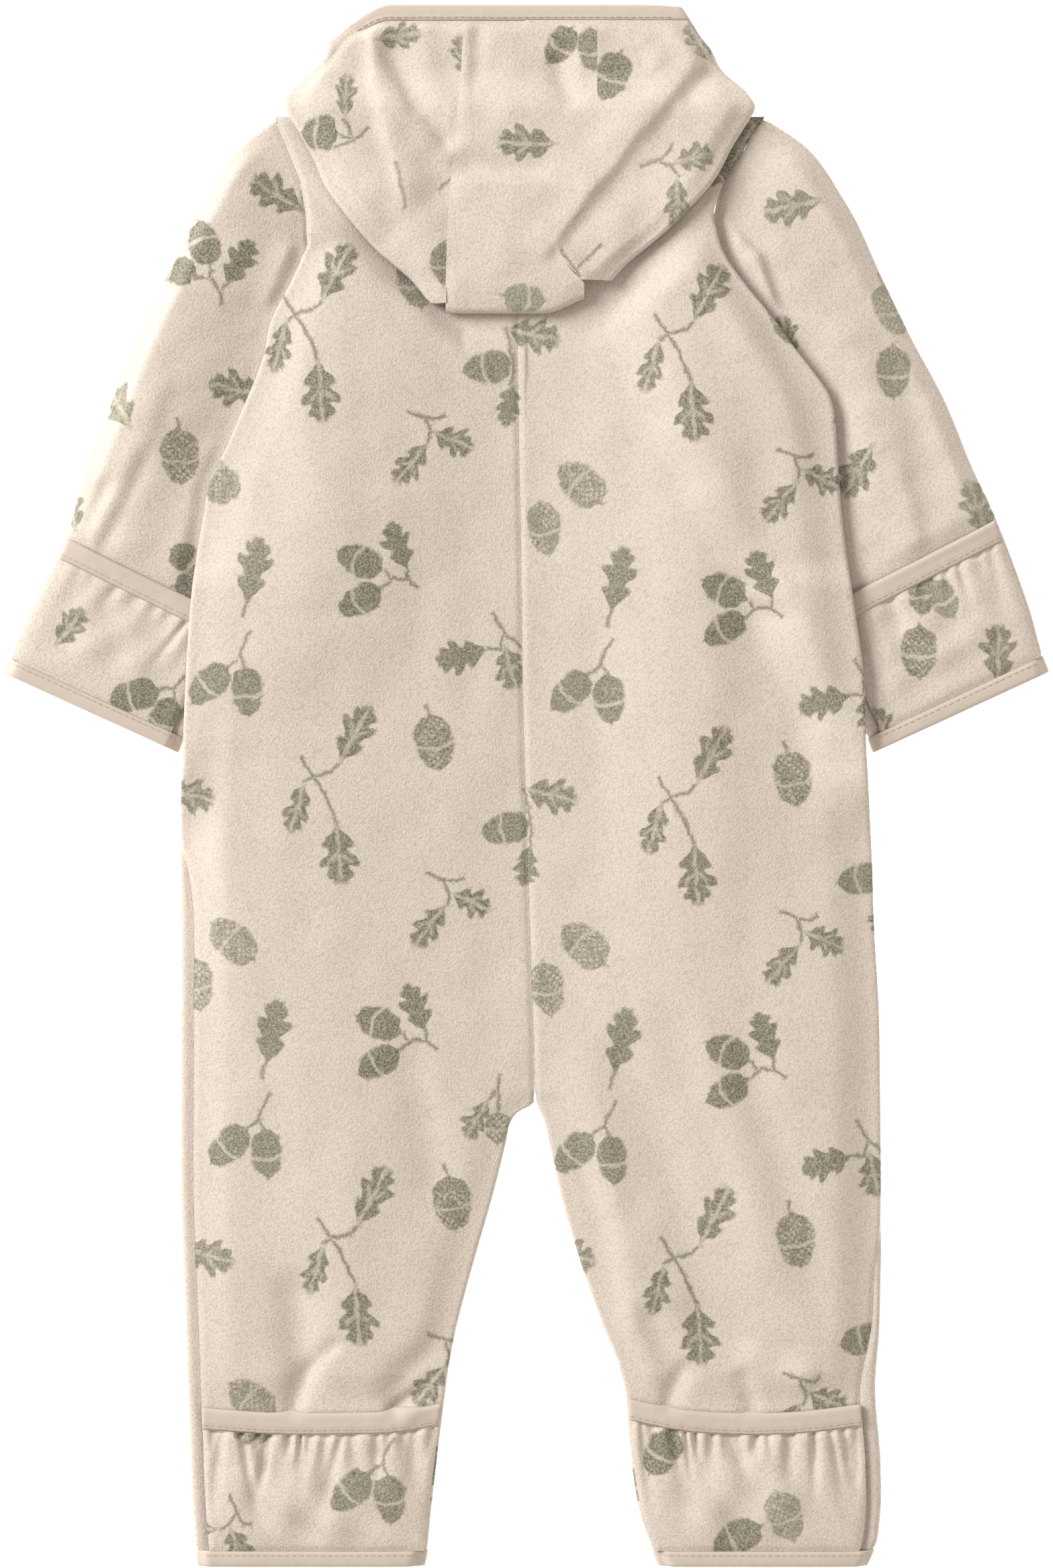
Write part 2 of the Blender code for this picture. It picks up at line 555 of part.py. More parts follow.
def make_panel(name, side, top, cells):
    """A back or a front: torso and leg in one cut. cells are those of its turned side
    edge, over the sleeve, down the slope off it, on to the inner edge, and round that."""
    y = BODY_ROWS
    start, end = body_ends(side, y, top)
    quarter = BODY_ROLL * pi / 2
    inner = body_turns(side, y)[1]
    way = 1 if top else -1
    a = way * np.maximum(quarter, way * start + 2.5)
    b = end - way * np.maximum(BODY_ROLL * inner, 2.0)
    slope = np.abs(body_edge(side, y)) - sleeve_reach(side, y) - BODY_ROLL + quarter
    slope = np.maximum(slope, np.abs(a) + 2)
    c = columns_between([start, a, way * slope, way * (slope + SLOPE), b, end], cells)
    rows = np.broadcast_to(y[:, None], c.shape).copy()
    wall(name, lambda p, q: body(side, p, q), c, rows, SIDES[side]["sign"])


def make_zip():
    """The zip's tape and coil between the fronts, its slider at the top and the slider's
    short tape pull, folded down under the zip."""
    y = np.concatenate([[228], BODY_ROWS[BODY_ROWS > 222.5], [CHIN - 13.5]])
    across = np.linspace(-1, 1, 2)
    half = np.interp(y, BODY_ROWS, zip_room(BODY_ROWS)) - SEAM / 2
    a = across[None, :] * half[:, None]

    def tape(a, b):
        return along(b, *CENTRE.values()) + a, b, 2.4 + 0 * a
    b = np.broadcast_to(y[:, None], a.shape).copy()
    wall("front_zip", tape, a, b, 1, inside=-1.3, colour=ZIP_BEIGE)
    middle = CENTRE["across"][-1]
    block("zip_slider", (middle, CHIN - 7, 2.3), (7.4, 12.0, 2.8), 0.8)
    block("zip_pull", (middle, CHIN - 22, 0.35), (5.0, 28.0, 0.7), 0.2)


def block(name, centre, size, bevel):
    """A small block with its edges rounded, its scale applied before the bevel."""
    mesh = bpy.data.meshes.new(name)
    shape = bmesh.new()
    bmesh.ops.create_cube(shape, size=1.0)
    place = np.array(centre) - np.array([0, LENGTH / 2, 0])
    bmesh.ops.scale(shape, vec=np.array(size) * MM, verts=shape.verts)
    bmesh.ops.translate(shape, vec=place * MM, verts=shape.verts)
    bmesh.ops.bevel(shape, geom=shape.edges, offset=bevel * MM, segments=2, profile=0.5,
                    affect="EDGES")
    shape.to_mesh(mesh)
    shape.free()
    mesh.materials.append(material(name, ZIP_BEIGE))
    suit.objects.link(bpy.data.objects.new(name, mesh))


def ring_columns(quarter, flat, cells):
    """Columns once round a flattened tube, as distances from its outer edge's middle:
    underneath from the inner edge to the outer one, and back over the top."""
    half = np.concatenate([[quarter / 2], quarter + flat * np.linspace(0, 1, cells + 1),
                           [quarter * 1.5 + flat]])
    return np.concatenate([[0], half, [2 * quarter + flat], -half[::-1]])


def round_tube(quarter, flats, cells):
    return np.array([ring_columns(quarter, flat, cells) for flat in flats])


def make_sleeve(side):
    """The sleeve, a tube from the cuff binding to the armhole."""
    way = stretches((HEM, 66, 2), (66, 163, 3), (163, 246, 5))
    flats = sleeve_width(side, way)[0] - 2 * SLEEVE_ROLL
    c = round_tube(SLEEVE_ROLL * pi / 2, flats, 7)
    rows = np.broadcast_to(way[:, None], c.shape).copy()
    wall("sleeve_" + side, lambda a, b: sleeve(side, a, b), c, rows, SIDES[side]["sign"],
         closed=True)


def rounded(high):
    """Thickness of a binding at its two long edges and along its middle."""
    return np.array([high - 0.7, high, high - 0.7])[:, None]


def make_cuff_binding(side):
    """Binding round the end of a sleeve. Over the top it takes in the mitt flap too."""
    way = np.array([0, HEM / 2, HEM - SEAM])
    flats = sleeve_width(side, way)[0] - 2 * SLEEVE_ROLL
    c = round_tube(SLEEVE_ROLL * pi / 2, flats, 4)
    over = ease((c - SLEEVE_ROLL * pi / 2 + 1) / 4) * ease((flats[:, None] + 4 - c) / 4)
    outside = over * rounded(BINDING)
    rows = np.broadcast_to(way[:, None], c.shape).copy()
    wall("cuff_binding_" + side, lambda a, b: sleeve(side, a, b), c, rows,
         SIDES[side]["sign"], outside=outside, closed=True, colour=BINDING_BEIGE)


def make_hem_binding(side):
    """Binding round the end of a leg. Over the top it takes in the foot flap too."""
    y = np.array([0, HEM / 2, HEM - 1.5 * SEAM])
    flats = body_flat(side, y)
    c = round_tube(BODY_ROLL * pi / 2, flats, 5)
    over = ease((c - BODY_ROLL * pi / 2 + 1) / 4) * ease((flats[:, None] + 4 - c) / 4)
    outside = over * rounded(BINDING)
    rows = np.broadcast_to(y[:, None], c.shape).copy()
    wall("leg_hem_binding_" + side, lambda a, b: body(side, a, b), c, rows,
         SIDES[side]["sign"], outside=outside, closed=True, colour=BINDING_BEIGE)


def gathers(part, down, count, depth):
    """Ripples below a gathered edge: count waves across, deepest under the binding and
    gone at the end of each one's own length, which varies along the edge."""
    reach = 0.55 + 0.25 * np.sin(part * 17.0 + 1.0) + 0.12 * np.sin(part * 41.0)
    return depth * np.cos(2 * pi * count * part) * (1 - ease(down / reach))


def make_foot_flap(side, count=17):
    """A foot flap on the back of a leg end, gathered into the binding on its free edge."""
    part = np.linspace(0, 1, 2 * count + 1)
    top = along(part, *SIDES[side]["flap"].values())
    quarter = BODY_ROLL * pi / 2
    start = np.maximum(side_seam(side, np.array([40.0]))[0], quarter) + SEAM + 0.4

    def columns(down_from):
        flat = body_flat(side, down_from)
        return start + (quarter + flat - 2.0 - start) * part

    down = np.array([0, 0.12, 0.3, 0.55, 0.8, 1.0])
    low, high = HEM, top - FLAP_BINDING - SEAM
    y = high[None, :] + (low - high)[None, :] * down[:, None]
    c = np.array([columns(row) for row in y])
    outside = LAY + FLEECE + gathers(part[None, :], down[:, None], count, 0.55)
    surface = (lambda a, b: body(side, a, b))
    sign = SIDES[side]["sign"]
    wall("foot_flap_" + side, surface, c, y, sign, outside=outside, inside=LAY)
    across = np.linspace(0, 1, 3)
    few = part[::2]
    edge = along(few, *SIDES[side]["flap"].values())
    y = edge[None, :] - FLAP_BINDING * across[:, None]
    flat = body_flat(side, y)
    c = start + (quarter + flat - 2.0 - start) * few[None, :]
    high = LAY + rounded(BINDING) + 0 * y
    wall("foot_flap_binding_" + side, surface, c, y, sign, outside=high, inside=LAY,
         colour=BINDING_BEIGE)


def make_mitt_flap(side, count=8):
    """A mitt flap on the back of a sleeve end, a little gathered into its binding."""
    quarter = SLEEVE_ROLL * pi / 2
    part = np.linspace(0, 1, 2 * count + 1)
    surface = (lambda a, b: sleeve(side, a, b))
    sign = SIDES[side]["sign"]

    def columns(way, part):
        flat = sleeve_width(side, way)[0] - 2 * SLEEVE_ROLL
        return quarter + 2.5 + (flat - 6.0) * part

    top = 66.0
    down = np.array([0, 0.15, 0.4, 0.7, 1.0])
    way = (top - FLAP_BINDING - SEAM) * (1 - down) + HEM * down
    way = np.broadcast_to(way[:, None], (len(down), len(part))).copy()
    outside = LAY + FLEECE + gathers(part[None, :], down[:, None], count, 0.35)
    wall("mitt_flap_" + side, surface, columns(way, part), way, sign, outside=outside,
         inside=LAY)
    few = part[::2]
    way = top - FLAP_BINDING * np.linspace(0, 1, 3)
    way = np.broadcast_to(way[:, None], (3, len(few))).copy()
    high = LAY + rounded(BINDING) + 0 * way
    wall("mitt_flap_binding_" + side, surface, columns(way, few), way, sign, outside=high,
         inside=LAY, colour=BINDING_BEIGE)


def hood_columns(side, y):
    """Columns of a side panel: the under layer, the fold at its side, and the top."""
    quarter = HOOD_ROLL * pi / 2
    over = hood_over(side, y)
    under = np.where(y > NECK + 2, hood_to_zip(side, y), over)
    knots = [-under, -(quarter + (under - quarter) * 0.25), -quarter + 0 * y, 0 * y,
             quarter + 0 * y, over]
    return columns_between(knots, (3, 2, 2, 2, 7))


def make_hood_side(side):
    """A side panel of the hood, slit at the neck where its under layer is sewn on."""
    y = HOOD_ROWS[HOOD_ROWS >= SIDES[side]["hood"]["height"][0]]
    c = hood_columns(side, y)
    rows = np.broadcast_to(y[:, None], c.shape).copy()
    keep = np.ones((len(y) - 1, c.shape[1]), bool)
    keep[np.searchsorted(y, NECK + 1), :5] = False
    wall("hood_" + side, lambda p, q: hood_side(side, p, q), c, rows, SIDES[side]["sign"],
         keep=keep)


def hood_to_zip(side, row):
    """Distance round a side panel from its fold, underneath, to the zip."""
    part = SIDES[side]["hood"]
    edge = along(row, part["height"], part["edge_x"])
    zip_edge = CENTRE["across"][-1] - SIDES[side]["sign"] * (ZIP_HALF + SEAM / 2)
    return HOOD_ROLL * (pi / 2 - 1) + np.abs(edge - zip_edge)


def make_hood_centre():
    """The hood's centre strip, from the face edge down the top layer, round the bottom
    fold and up the under layer to the neck."""
    quarter = HOOD_ROLL * pi / 2
    part = np.linspace(0, 1, STRIP_CELLS + 1)[None, :]
    top = HOOD_ROWS[1:, None]
    low = HOOD_ROWS[1:10, None]
    ways = [sign * (quarter + y - HOOD_ROLL - hood_bottom(strip_across(y, part)))
            for sign, y in ((-1, low[::-1]), (1, top))]
    fold = np.array([-1, -0.5, 0, 0.5, 1])[:, None] * quarter + 0 * part
    way = np.concatenate([ways[0], fold, ways[1]])
    wall("hood_centre", hood_centre, np.broadcast_to(part, way.shape).copy(), way, 1)


def make_hood_binding():
    """The binding round the hood's face edge, from the zip round to the zip again."""
    row = np.array([FACE + 2 * SEAM, FACE + HEM / 2, FACE + HEM])
    over = {side: hood_over(side, row)[:, None] for side in SIDES}
    left = hood_columns("left", row) - over["left"]
    middle = np.linspace(0, STRIP, STRIP_CELLS + 1)[None, 1:] + 0 * over["left"]
    right = STRIP + over["right"] - hood_columns("right", row)[:, -2::-1]
    a = np.concatenate([left, middle, right], axis=1)
    rows = np.broadcast_to(row[:, None], a.shape).copy()
    on_top = (a > 2 - over["left"]) & (a < STRIP + over["right"] - 2)
    wall("hood_binding", face_edge, a, rows, 1, outside=rounded(0.7) * on_top,
         inside=-FLEECE, colour=BINDING_BEIGE)


for old in list(bpy.data.objects):
    bpy.data.objects.remove(old, do_unlink=True)
suit = bpy.data.collections.new("fleece_pramsuit")
bpy.context.scene.collection.children.link(suit)
for hand in SIDES:
    make_panel("back_" + hand, hand, True, (2, 1, 5, 8, 2))
    make_panel("front_" + hand, hand, False, (6, 1, 3, 2, 2))
    make_sleeve(hand)
    make_cuff_binding(hand)
    make_hem_binding(hand)
    make_foot_flap(hand)
    make_mitt_flap(hand)
    make_hood_side(hand)
make_hood_centre()
make_hood_binding()
make_zip()
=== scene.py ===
"""Fleece pramsuit for a baby, laid flat on its front: the cloth as it looks, round the
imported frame.

Each piece of cloth is a wall on a grid: a surface that is worked out from two
parameters, and a second one behind it at the cloth's thickness. Shape functions work in
millimetres, with heights up from the leg hems and places across from the middle line,
positive to the right of someone looking at the back.
"""
from math import cos, pi, radians, sin

import bpy
import numpy as np
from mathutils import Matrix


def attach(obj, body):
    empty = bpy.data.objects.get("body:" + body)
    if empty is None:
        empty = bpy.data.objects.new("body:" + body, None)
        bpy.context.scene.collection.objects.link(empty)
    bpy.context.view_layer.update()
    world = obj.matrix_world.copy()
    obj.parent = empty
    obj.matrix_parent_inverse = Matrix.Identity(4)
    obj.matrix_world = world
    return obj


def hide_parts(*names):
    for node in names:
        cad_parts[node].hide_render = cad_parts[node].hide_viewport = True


bl_info = {
    "name": "Fleece pramsuit",
    "version": (1, 0, 0),
    "blender": (4, 5, 0),
    "location": "3D View > Sidebar > Pramsuit",
    "description": "Builds the cloth, bindings, zip and stitching of a baby's fleece pramsuit",
    "category": "Object",
}

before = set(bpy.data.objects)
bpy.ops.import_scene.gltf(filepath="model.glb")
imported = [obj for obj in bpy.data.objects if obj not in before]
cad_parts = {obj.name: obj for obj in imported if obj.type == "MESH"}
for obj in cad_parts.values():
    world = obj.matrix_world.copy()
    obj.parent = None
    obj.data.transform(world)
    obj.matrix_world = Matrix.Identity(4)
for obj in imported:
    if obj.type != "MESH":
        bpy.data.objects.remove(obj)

MM = 0.001
LENGTH = 697.0           # leg hems to the top of the hood
FLEECE = 2.2             # thickness of the fleece
BINDING = 2.9            # thickness of a folded binding
SEAM = 0.08              # gap between pieces that are sewn together, pulled tight
HOOD_SEAM = 0.02         # the same between the hood's panels, where the nap hides it
ARMHOLE_SEAM = 0.1       # the same at the armholes, whose two sides curve
LAY = 0.35               # gap under a piece that lies on another
BODY_ROLL = 2.75         # half the thickness of the flattened body, and its edge's radius
SLEEVE_ROLL = 2.6
HOOD_ROLL = 2.8
HEM = 7.0                # width of the bindings at the leg hems, cuffs and hood
FLAP_BINDING = 9.4       # width of the bindings on the flaps' free edges
FLAP_TOP = 66.0          # distance of a mitt flap's free edge from the cuff
ZIP_HALF = 4.2           # half the width of the zip between the fronts
CROTCH = 206.0           # height of the crotch
NECK = 647.0             # height of the shoulder and neck seams
SLIT = 2.5               # height of the slit at the neck between the hood's two parts
FLOOR_UP = 1.0 + SLIT    # height over NECK of that slit's upper side
CHIN = 664.0             # height of the lowest point of the hood's face edge
STRIP = 59.7             # width of the hood's centre strip at the face edge
FACE = 690.0             # height of the hood's face edge, less its binding
LAP_UP = 6.9             # how far up the left panel's fleece laps over the hood's binding
SLOPE = 28.0             # width of the slope that the body makes down off a sleeve
SLOPE_IN = 4.0           # distance in from a sleeve's hidden edge at which that slope starts
ARMHOLE_BLEND = 12.0     # height over which the body's side runs into its armhole
CROTCH_OPENS = 7.0       # height over which the body's two layers part above the crotch
ZIP_END = 222.0          # height below which the two fronts meet, with no zip between them
ZIP_WIDENS = 16.0        # height over which they part from there
ENDLESS = 1000.0         # width given to a flat whose far edge is never reached
PUFF_OUTER = 22.0        # widths over which the back's puff rises from its outer edge and
PUFF_INNER = 18.0        # from its inner one
PRESSED = 88.0           # height below which the back's puff sinks, towards the foot flap
SMOOTHED = 62.0          # height below which it has no creases, under the foot flap
QUARTER = pi / 2


def table(names, *rows):
    """Rows of numbers under named columns, as a dictionary of arrays."""
    return dict(zip(names.split(), np.array(rows, float).T))


# --- outlines: the same as the frame's ---

LEFT_SIDE = table(
    "height edge inset",
    (0, -147.0, 6), (21, -148.8, 6), (69, -150.9, 6), (117, -152.7, 6), (165, -154.5, 6),
    (240, -154.5, 6), (300, -154.5, 5), (333, -154.8, 0), (356, -153.6, 0),
    (399, -151.8, 0), (430, -149.7, 0), (451, -147.3, 0), (470, -144.0, 0),
    (484, -141.6, 0), (496, -135.6, 0), (514, -127.8, 0), (541, -117.3, 0),
    (554, -114.6, 0), (574, -104.7, 0), (591, -97.5, 0), (604, -94.0, 0))
RIGHT_SIDE = table(
    "height edge inset",
    (0, 153.0, 6), (9, 156.6, 6), (21, 158.4, 6), (45, 158.7, 7), (81, 156.3, 7),
    (105, 158.1, 4), (129, 158.7, 3), (165, 159.3, 0), (213, 159.0, 0), (249, 158.4, 0),
    (285, 156.3, 0), (321, 155.1, 0), (365, 152.1, 0), (394, 151.2, 0), (435, 145.8, 0),
    (471, 141.3, 0), (500, 139.2, 0), (515, 138.0, 0), (523, 135.6, 0), (533, 128.7, 0),
    (543, 120.9, 0), (556, 111.6, 0), (572, 98.4, 0), (585, 89.4, 0), (603, 84.3, 0),
    (616, 82.0, 0))
LEFT_ARMHOLE = table(
    "height across",
    (555.3, -65.4), (566, -79.0), (578, -91.0), (591, -97.5), (602, -97.8),
    (620, -101.4), (632, -105.9), (646.5, -112.2))
RIGHT_ARMHOLE = table(
    "height across",
    (555.3, 65.4), (566, 72.5), (580, 78.0), (592, 81.5), (605, 84.3), (612, 86.1),
    (618, 88.5), (629, 95.7), (640, 101.7), (646.5, 106.6))
CENTRE = table(
    "height across",
    (206, 4.2), (215, 3.9), (249, 3.0), (291, 1.5), (337, 0.0), (383, -1.2), (444, -2.1),
    (559, -3.9), (697, -3.9))
LEFT_INSEAM = table(
    "height across",
    (0, -44.8), (9, -43.2), (21, -42.0), (45, -39.3), (69, -36.3), (93, -33.0),
    (105, -30.6), (117, -27.6), (141, -21.0), (165, -14.1), (189, -8.1), (198, -6.0),
    (202, -3.2), (206, 4.2))
RIGHT_INSEAM = table(
    "height across",
    (0, 58.8), (9, 55.2), (21, 50.7), (33, 48.3), (57, 45.3), (81, 42.9), (93, 39.6),
    (105, 34.5), (117, 30.0), (141, 21.9), (165, 15.0), (189, 9.6), (201, 6.6), (206, 4.2))
LEFT_SLEEVE = table(
    "way outer_x outer_y inner_x inner_y",
    (0, -234.0, 399.0, -155.1, 363.0), (7, -230.7, 405.6, -152.6, 369.6),
    (27, -224.0, 422.6, -145.0, 385.0), (66, -205.5, 459.3, -124.2, 419.4),
    (98, -197.1, 489.3, -109.5, 449.7), (132, -184.8, 520.8, -96.3, 481.5),
    (163, -173.4, 549.3, -81.9, 510.3), (188, -161.7, 573.3, -71.4, 531.3),
    (216, -144.6, 609.3, -66.3, 546.3), (234, -128.4, 633.3, -65.0, 552.5),
    (246, -112.2, 646.5, -65.4, 555.3))
RIGHT_SLEEVE = table(
    "way outer_x outer_y inner_x inner_y",
    (0, 234.0, 399.3, 155.1, 363.0), (7, 231.2, 406.5, 152.6, 369.6),
    (27, 225.6, 426.0, 145.6, 386.5), (66, 210.3, 467.4, 130.2, 426.3),
    (98, 199.4, 491.0, 111.5, 450.6), (132, 187.0, 521.0, 97.4, 481.5),
    (163, 171.9, 549.3, 82.5, 510.3), (188, 160.2, 573.3, 71.4, 531.3),
    (216, 142.8, 609.3, 66.3, 546.3), (234, 125.0, 634.0, 65.0, 552.5),
    (246, 106.6, 646.5, 65.4, 555.3))
LEFT_HIDDEN = table(
    "height reach lift",
    (322, 155.5, 0), (356, 155.5, 9.2), (372, 151.5, 9.2), (422, 124.5, 9.2),
    (436, 117.5, 9.2), (449, 111.5, 5.7), (482, 97.0, 5.7), (510, 82.3, 5.7),
    (531, 71.8, 5.7), (546, 66.8, 5.7), (553, 65.2, 5.7), (560, 67.0, 5.7),
    (575, 80.0, 5.7), (592, 90.0, 5.7), (626, 94.0, 0))
RIGHT_HIDDEN = table(
    "height reach lift",
    (322, 155.5, 0), (356, 155.5, 9.2), (372, 151.5, 9.2), (422, 131.0, 9.2),
    (436, 122.0, 9.2), (449, 112.5, 5.7), (482, 97.0, 5.7), (510, 82.3, 5.7),
    (531, 71.4, 5.7), (546, 66.3, 5.7), (553, 65.2, 5.7), (560, 66.5, 5.7),
    (575, 73.0, 5.7), (604, 81.0, 5.7), (634, 86.0, 0))
LEFT_HOOD = table(
    "height seam edge_x edge_y",
    (563, -35.7, -43.0, 563), (572, -35.6, -49.8, 572), (587, -35.2, -66.9, 587),
    (602, -34.8, -80.0, 602), (614, -33.9, -88.8, 614), (629, -31.9, -95.4, 629),
    (641, -31.0, -102.0, 641), (651, -30.2, -107.7, 651), (657, -29.8, -107.2, 655.5),
    (669, -28.9, -101.0, 663), (677, -28.5, -95.5, 668), (684, -28.1, -91.5, 671.5),
    (690, -27.9, -89.2, 674.5), (698, -27.9, -88.4, 681))
RIGHT_HOOD = table(
    "height seam edge_x edge_y",
    (572, 26.0, 37.2, 572), (581, 17.6, 45.3, 581), (590, 14.2, 56.5, 590),
    (597, 19.0, 64.8, 597), (606, 27.0, 73.8, 606), (615, 30.6, 81.9, 615),
    (635, 31.2, 93.3, 635), (645, 31.5, 99.5, 645), (650, 31.7, 102.3, 650),
    (657, 31.8, 99.0, 657), (669, 31.8, 87.0, 669), (677, 31.8, 83.0, 677),
    (684, 31.8, 77.5, 684), (690, 31.8, 74.0, 690), (698, 31.8, 69.5, 697))
LEFT_FLAP = table("part height", (0, 70.8), (0.3, 68.7), (0.6, 68.7), (0.8, 69.3), (1, 72.6))
RIGHT_FLAP = table("part height", (0, 72.3), (0.3, 69.0), (0.6, 68.7), (0.8, 70.5), (1, 74.8))

SIDES = {
    "left": dict(sign=1, side=LEFT_SIDE, armhole=LEFT_ARMHOLE, split=(585, 596),
                 inseam=LEFT_INSEAM, sleeve=LEFT_SLEEVE, hidden=LEFT_HIDDEN, hood=LEFT_HOOD,
                 flap=LEFT_FLAP),
    "right": dict(sign=-1, side=RIGHT_SIDE, armhole=RIGHT_ARMHOLE, split=(597, 608),
                  inseam=RIGHT_INSEAM, sleeve=RIGHT_SLEEVE, hidden=RIGHT_HIDDEN, hood=RIGHT_HOOD,
                  flap=RIGHT_FLAP),
}

# --- folds: soft ridges (height over 0) and troughs along a line, with their
# widths on its left and right sides as someone walking along it has them ---

BACK_CREASES = table(
    "x0 y0 x1 y1 left right height",
    (19, 196, 43, 116, 7, 5, -1.6), (50, 160, 62, 96, 8, 8, 1.0),
    (-106, 66, -96, 90, 5, 4, -2.6), (-97, 87, -83, 101, 4, 3, -1.6),
    (-62, 68, -38, 85, 3, 4, -3.2), (-56, 66, -34, 80, 4, 5, 1.6),
    (62, 68, 72, 92, 4, 5, -2.2), (102, 66, 96, 88, 5, 4, -1.8),
    # left half of the back
    (-34, 520, -30, 300, 12, 14, 0.4), (-140, 470, -146, 330, 8, 7, 1.0),
    (-102, 560, -92, 470, 8, 10, 0.9), (-22, 470, -26, 360, 8, 9, -0.5),
    # left leg
    (-52, 232, -38, 160, 8, 9, -1.6), (-74, 205, -86, 92, 14, 12, 1.2),
    (-128, 215, -130, 92, 12, 12, 1.0), (-105, 130, -98, 74, 8, 9, -2.6),
    (-36, 102, -64, 73, 7, 7, -2.2), (-44, 150, -48, 90, 9, 10, 1.0),
    # right half of the back
    (70, 612, 104, 540, 12, 10, 1.4), (98, 566, 128, 480, 9, 14, 1.8),
    (128, 490, 136, 330, 8, 12, 1.2), (92, 545, 104, 360, 12, 14, -1.2),
    (104, 375, 96, 250, 12, 12, -0.8), (140, 330, 148, 210, 9, 12, 1.0),
    (28, 430, 34, 300, 10, 10, -0.8), (46, 470, 52, 380, 7, 9, 0.6),
    # right leg
    (26, 232, 50, 92, 8, 11, 1.8), (40, 238, 84, 118, 10, 10, -1.6),
    (74, 262, 112, 128, 12, 10, 1.8), (98, 232, 132, 112, 10, 10, -1.6),
    (146, 205, 148, 92, 9, 9, 1.0), (70, 118, 122, 88, 7, 10, -2.0),
    (56, 118, 66, 76, 7, 7, -2.0), (96, 96, 128, 82, 8, 6, 1.4))
# Broad forms of the back: how high it stands at places across, row by row.
RISE_ACROSS = np.array(
    [-150, -120, -100, -84, -66, -45, -25, -6, 6, 25, 45, 65, 85, 110, 135, 155], float)
BACK_RISE = {
    90: (1.0, 2.6, 2.4, 3.4, 3.6, 2.0, 1.0, 1.0, 1.0, 0.6, 2.2, 3.0, 3.0, 3.8, 3.8, 1.5),
    150: (1.5, 3.6, 5.0, 5.4, 5.0, 3.0, 2.0, 1.0, 1.0, 1.0, 2.8, 3.6, 3.4, 5.2, 5.2, 2.0),
    230: (2.0, 5.4, 6.4, 6.2, 5.4, 4.0, 2.8, 1.8, 1.8, 2.6, 4.2, 4.8, 4.8, 6.0, 5.0, 2.0),
    300: (0.0, 4.6, 7.1, 7.7, 6.6, 5.0, 3.6, 2.4, 2.0, 2.6, 4.6, 6.8, 7.2, 5.0, 2.6, 0.8),
    400: (0.3, 3.0, 5.6, 7.2, 7.4, 5.9, 4.0, 2.4, 1.8, 2.4, 4.4, 7.6, 8.4, 5.0, 2.2, 0.2),
    500: (0.5, 3.2, 5.0, 5.6, 4.6, 3.6, 2.8, 2.0, 1.6, 2.4, 4.4, 7.6, 7.8, 3.8, 1.4, 0.0),
    550: (0.0, 0.5, 2.8, 3.8, 3.1, 1.5, 1.1, 1.3, 1.2, 2.0, 3.0, 4.6, 4.8, 3.6, 1.2, 0.0)}
# The back spans softly from the left sleeve to the middle: how high that span lies at the
# sleeve, and the width over which it comes down.
SPAN = table("height lift", (236, 0), (356, 9.2), (425, 9.2), (505, 5.7), (590, 5.7), (630, 0))
SPAN_WIDTH = 80.0
SLEEVE_CREASES = table(
    "x0 y0 x1 y1 left right height",
    (-130, 620, -182, 500, 12, 12, 1.2), (-186, 486, -201, 450, 4, 5, -2.8),
    (-160, 530, -186, 462, 5, 8, 1.5), (-168, 500, -190, 450, 4, 4, -1.8),
    (-102, 590, -112, 560, 6, 9, 1.8), (-118, 598, -150, 500, 9, 12, 0.9),
    (-134, 500, -156, 440, 7, 9, 1.2),
    (86, 602, 104, 582, 3, 9, 2.8), (103, 585, 112, 552, 2.6, 10, 3.6),
    (111, 560, 122, 540, 3, 6, 1.6), (140, 560, 166, 489, 10, 14, 1.5),
    (165, 494, 175, 448, 5, 8, 1.8), (158, 556, 184, 476, 8, 8, -1.1),
    (136, 462, 149, 430, 6, 6, -2.6), (184, 540, 204, 480, 6, 7, 0.9),
    (124, 636, 158, 588, 10, 10, 0.9), (150, 520, 160, 462, 6, 7, 0.9))
HOOD_CREASES = table(
    "x0 y0 x1 y1 left right height",
    (-70, 696, -66, 658, 9, 4.0, 2.6), (-66, 664, -52, 608, 11, 4.5, 2.4),
    (-64, 680, -48, 648, 6, 4.0, -2.6), (-50, 652, -33, 632, 7, 3.6, -2.2),
    (-84, 690, -88, 668, 5, 5, -1.4), (-92, 668, -62, 600, 12, 12, 1.5),
    (-58, 622, -38, 578, 9, 12, 1.4), (-45, 694, -42, 660, 5, 6, 0.9),
    (-26, 694, -29, 652, 3.6, 3.4, 1.1), (-21, 692, -23, 660, 4, 4, -0.9),
    (-34, 625, 10, 622, 6, 3, -1.9), (-34, 617, 12, 614, 3, 14, 1.8),
    (-12, 690, -8, 640, 9, 8, 0.7), (13, 676, 21, 650, 5, 5, -2.0),
    (31.0, 694, 31.5, 652, 6, 3.0, 0.6), (24, 690, 25, 664, 3, 3, 0.8),
    (84, 680, 50, 638, 3.6, 16, 2.9), (53, 643, 27, 611, 3.6, 16, 3.0),
    (30, 616, 6, 582, 3.4, 14, 2.6), (84, 670, 70, 652, 5, 5, -1.5),
    (90, 655, 66, 618, 10, 10, 1.2), (60, 622, 36, 586, 10, 8, 1.2),
    (12, 591, 28, 573, 4, 2.4, 1.3), (52, 684, 60, 668, 5, 5, 1.0),
    (-10, 612, -14, 572, 12, 12, 0.9))

# --- print: parts of each group of leaves and acorns, in millimetres from its place ---

LEAF, ACORN, STEM = 0, 1, 2
STEM_HALF = 0.8          # half the width of a stem


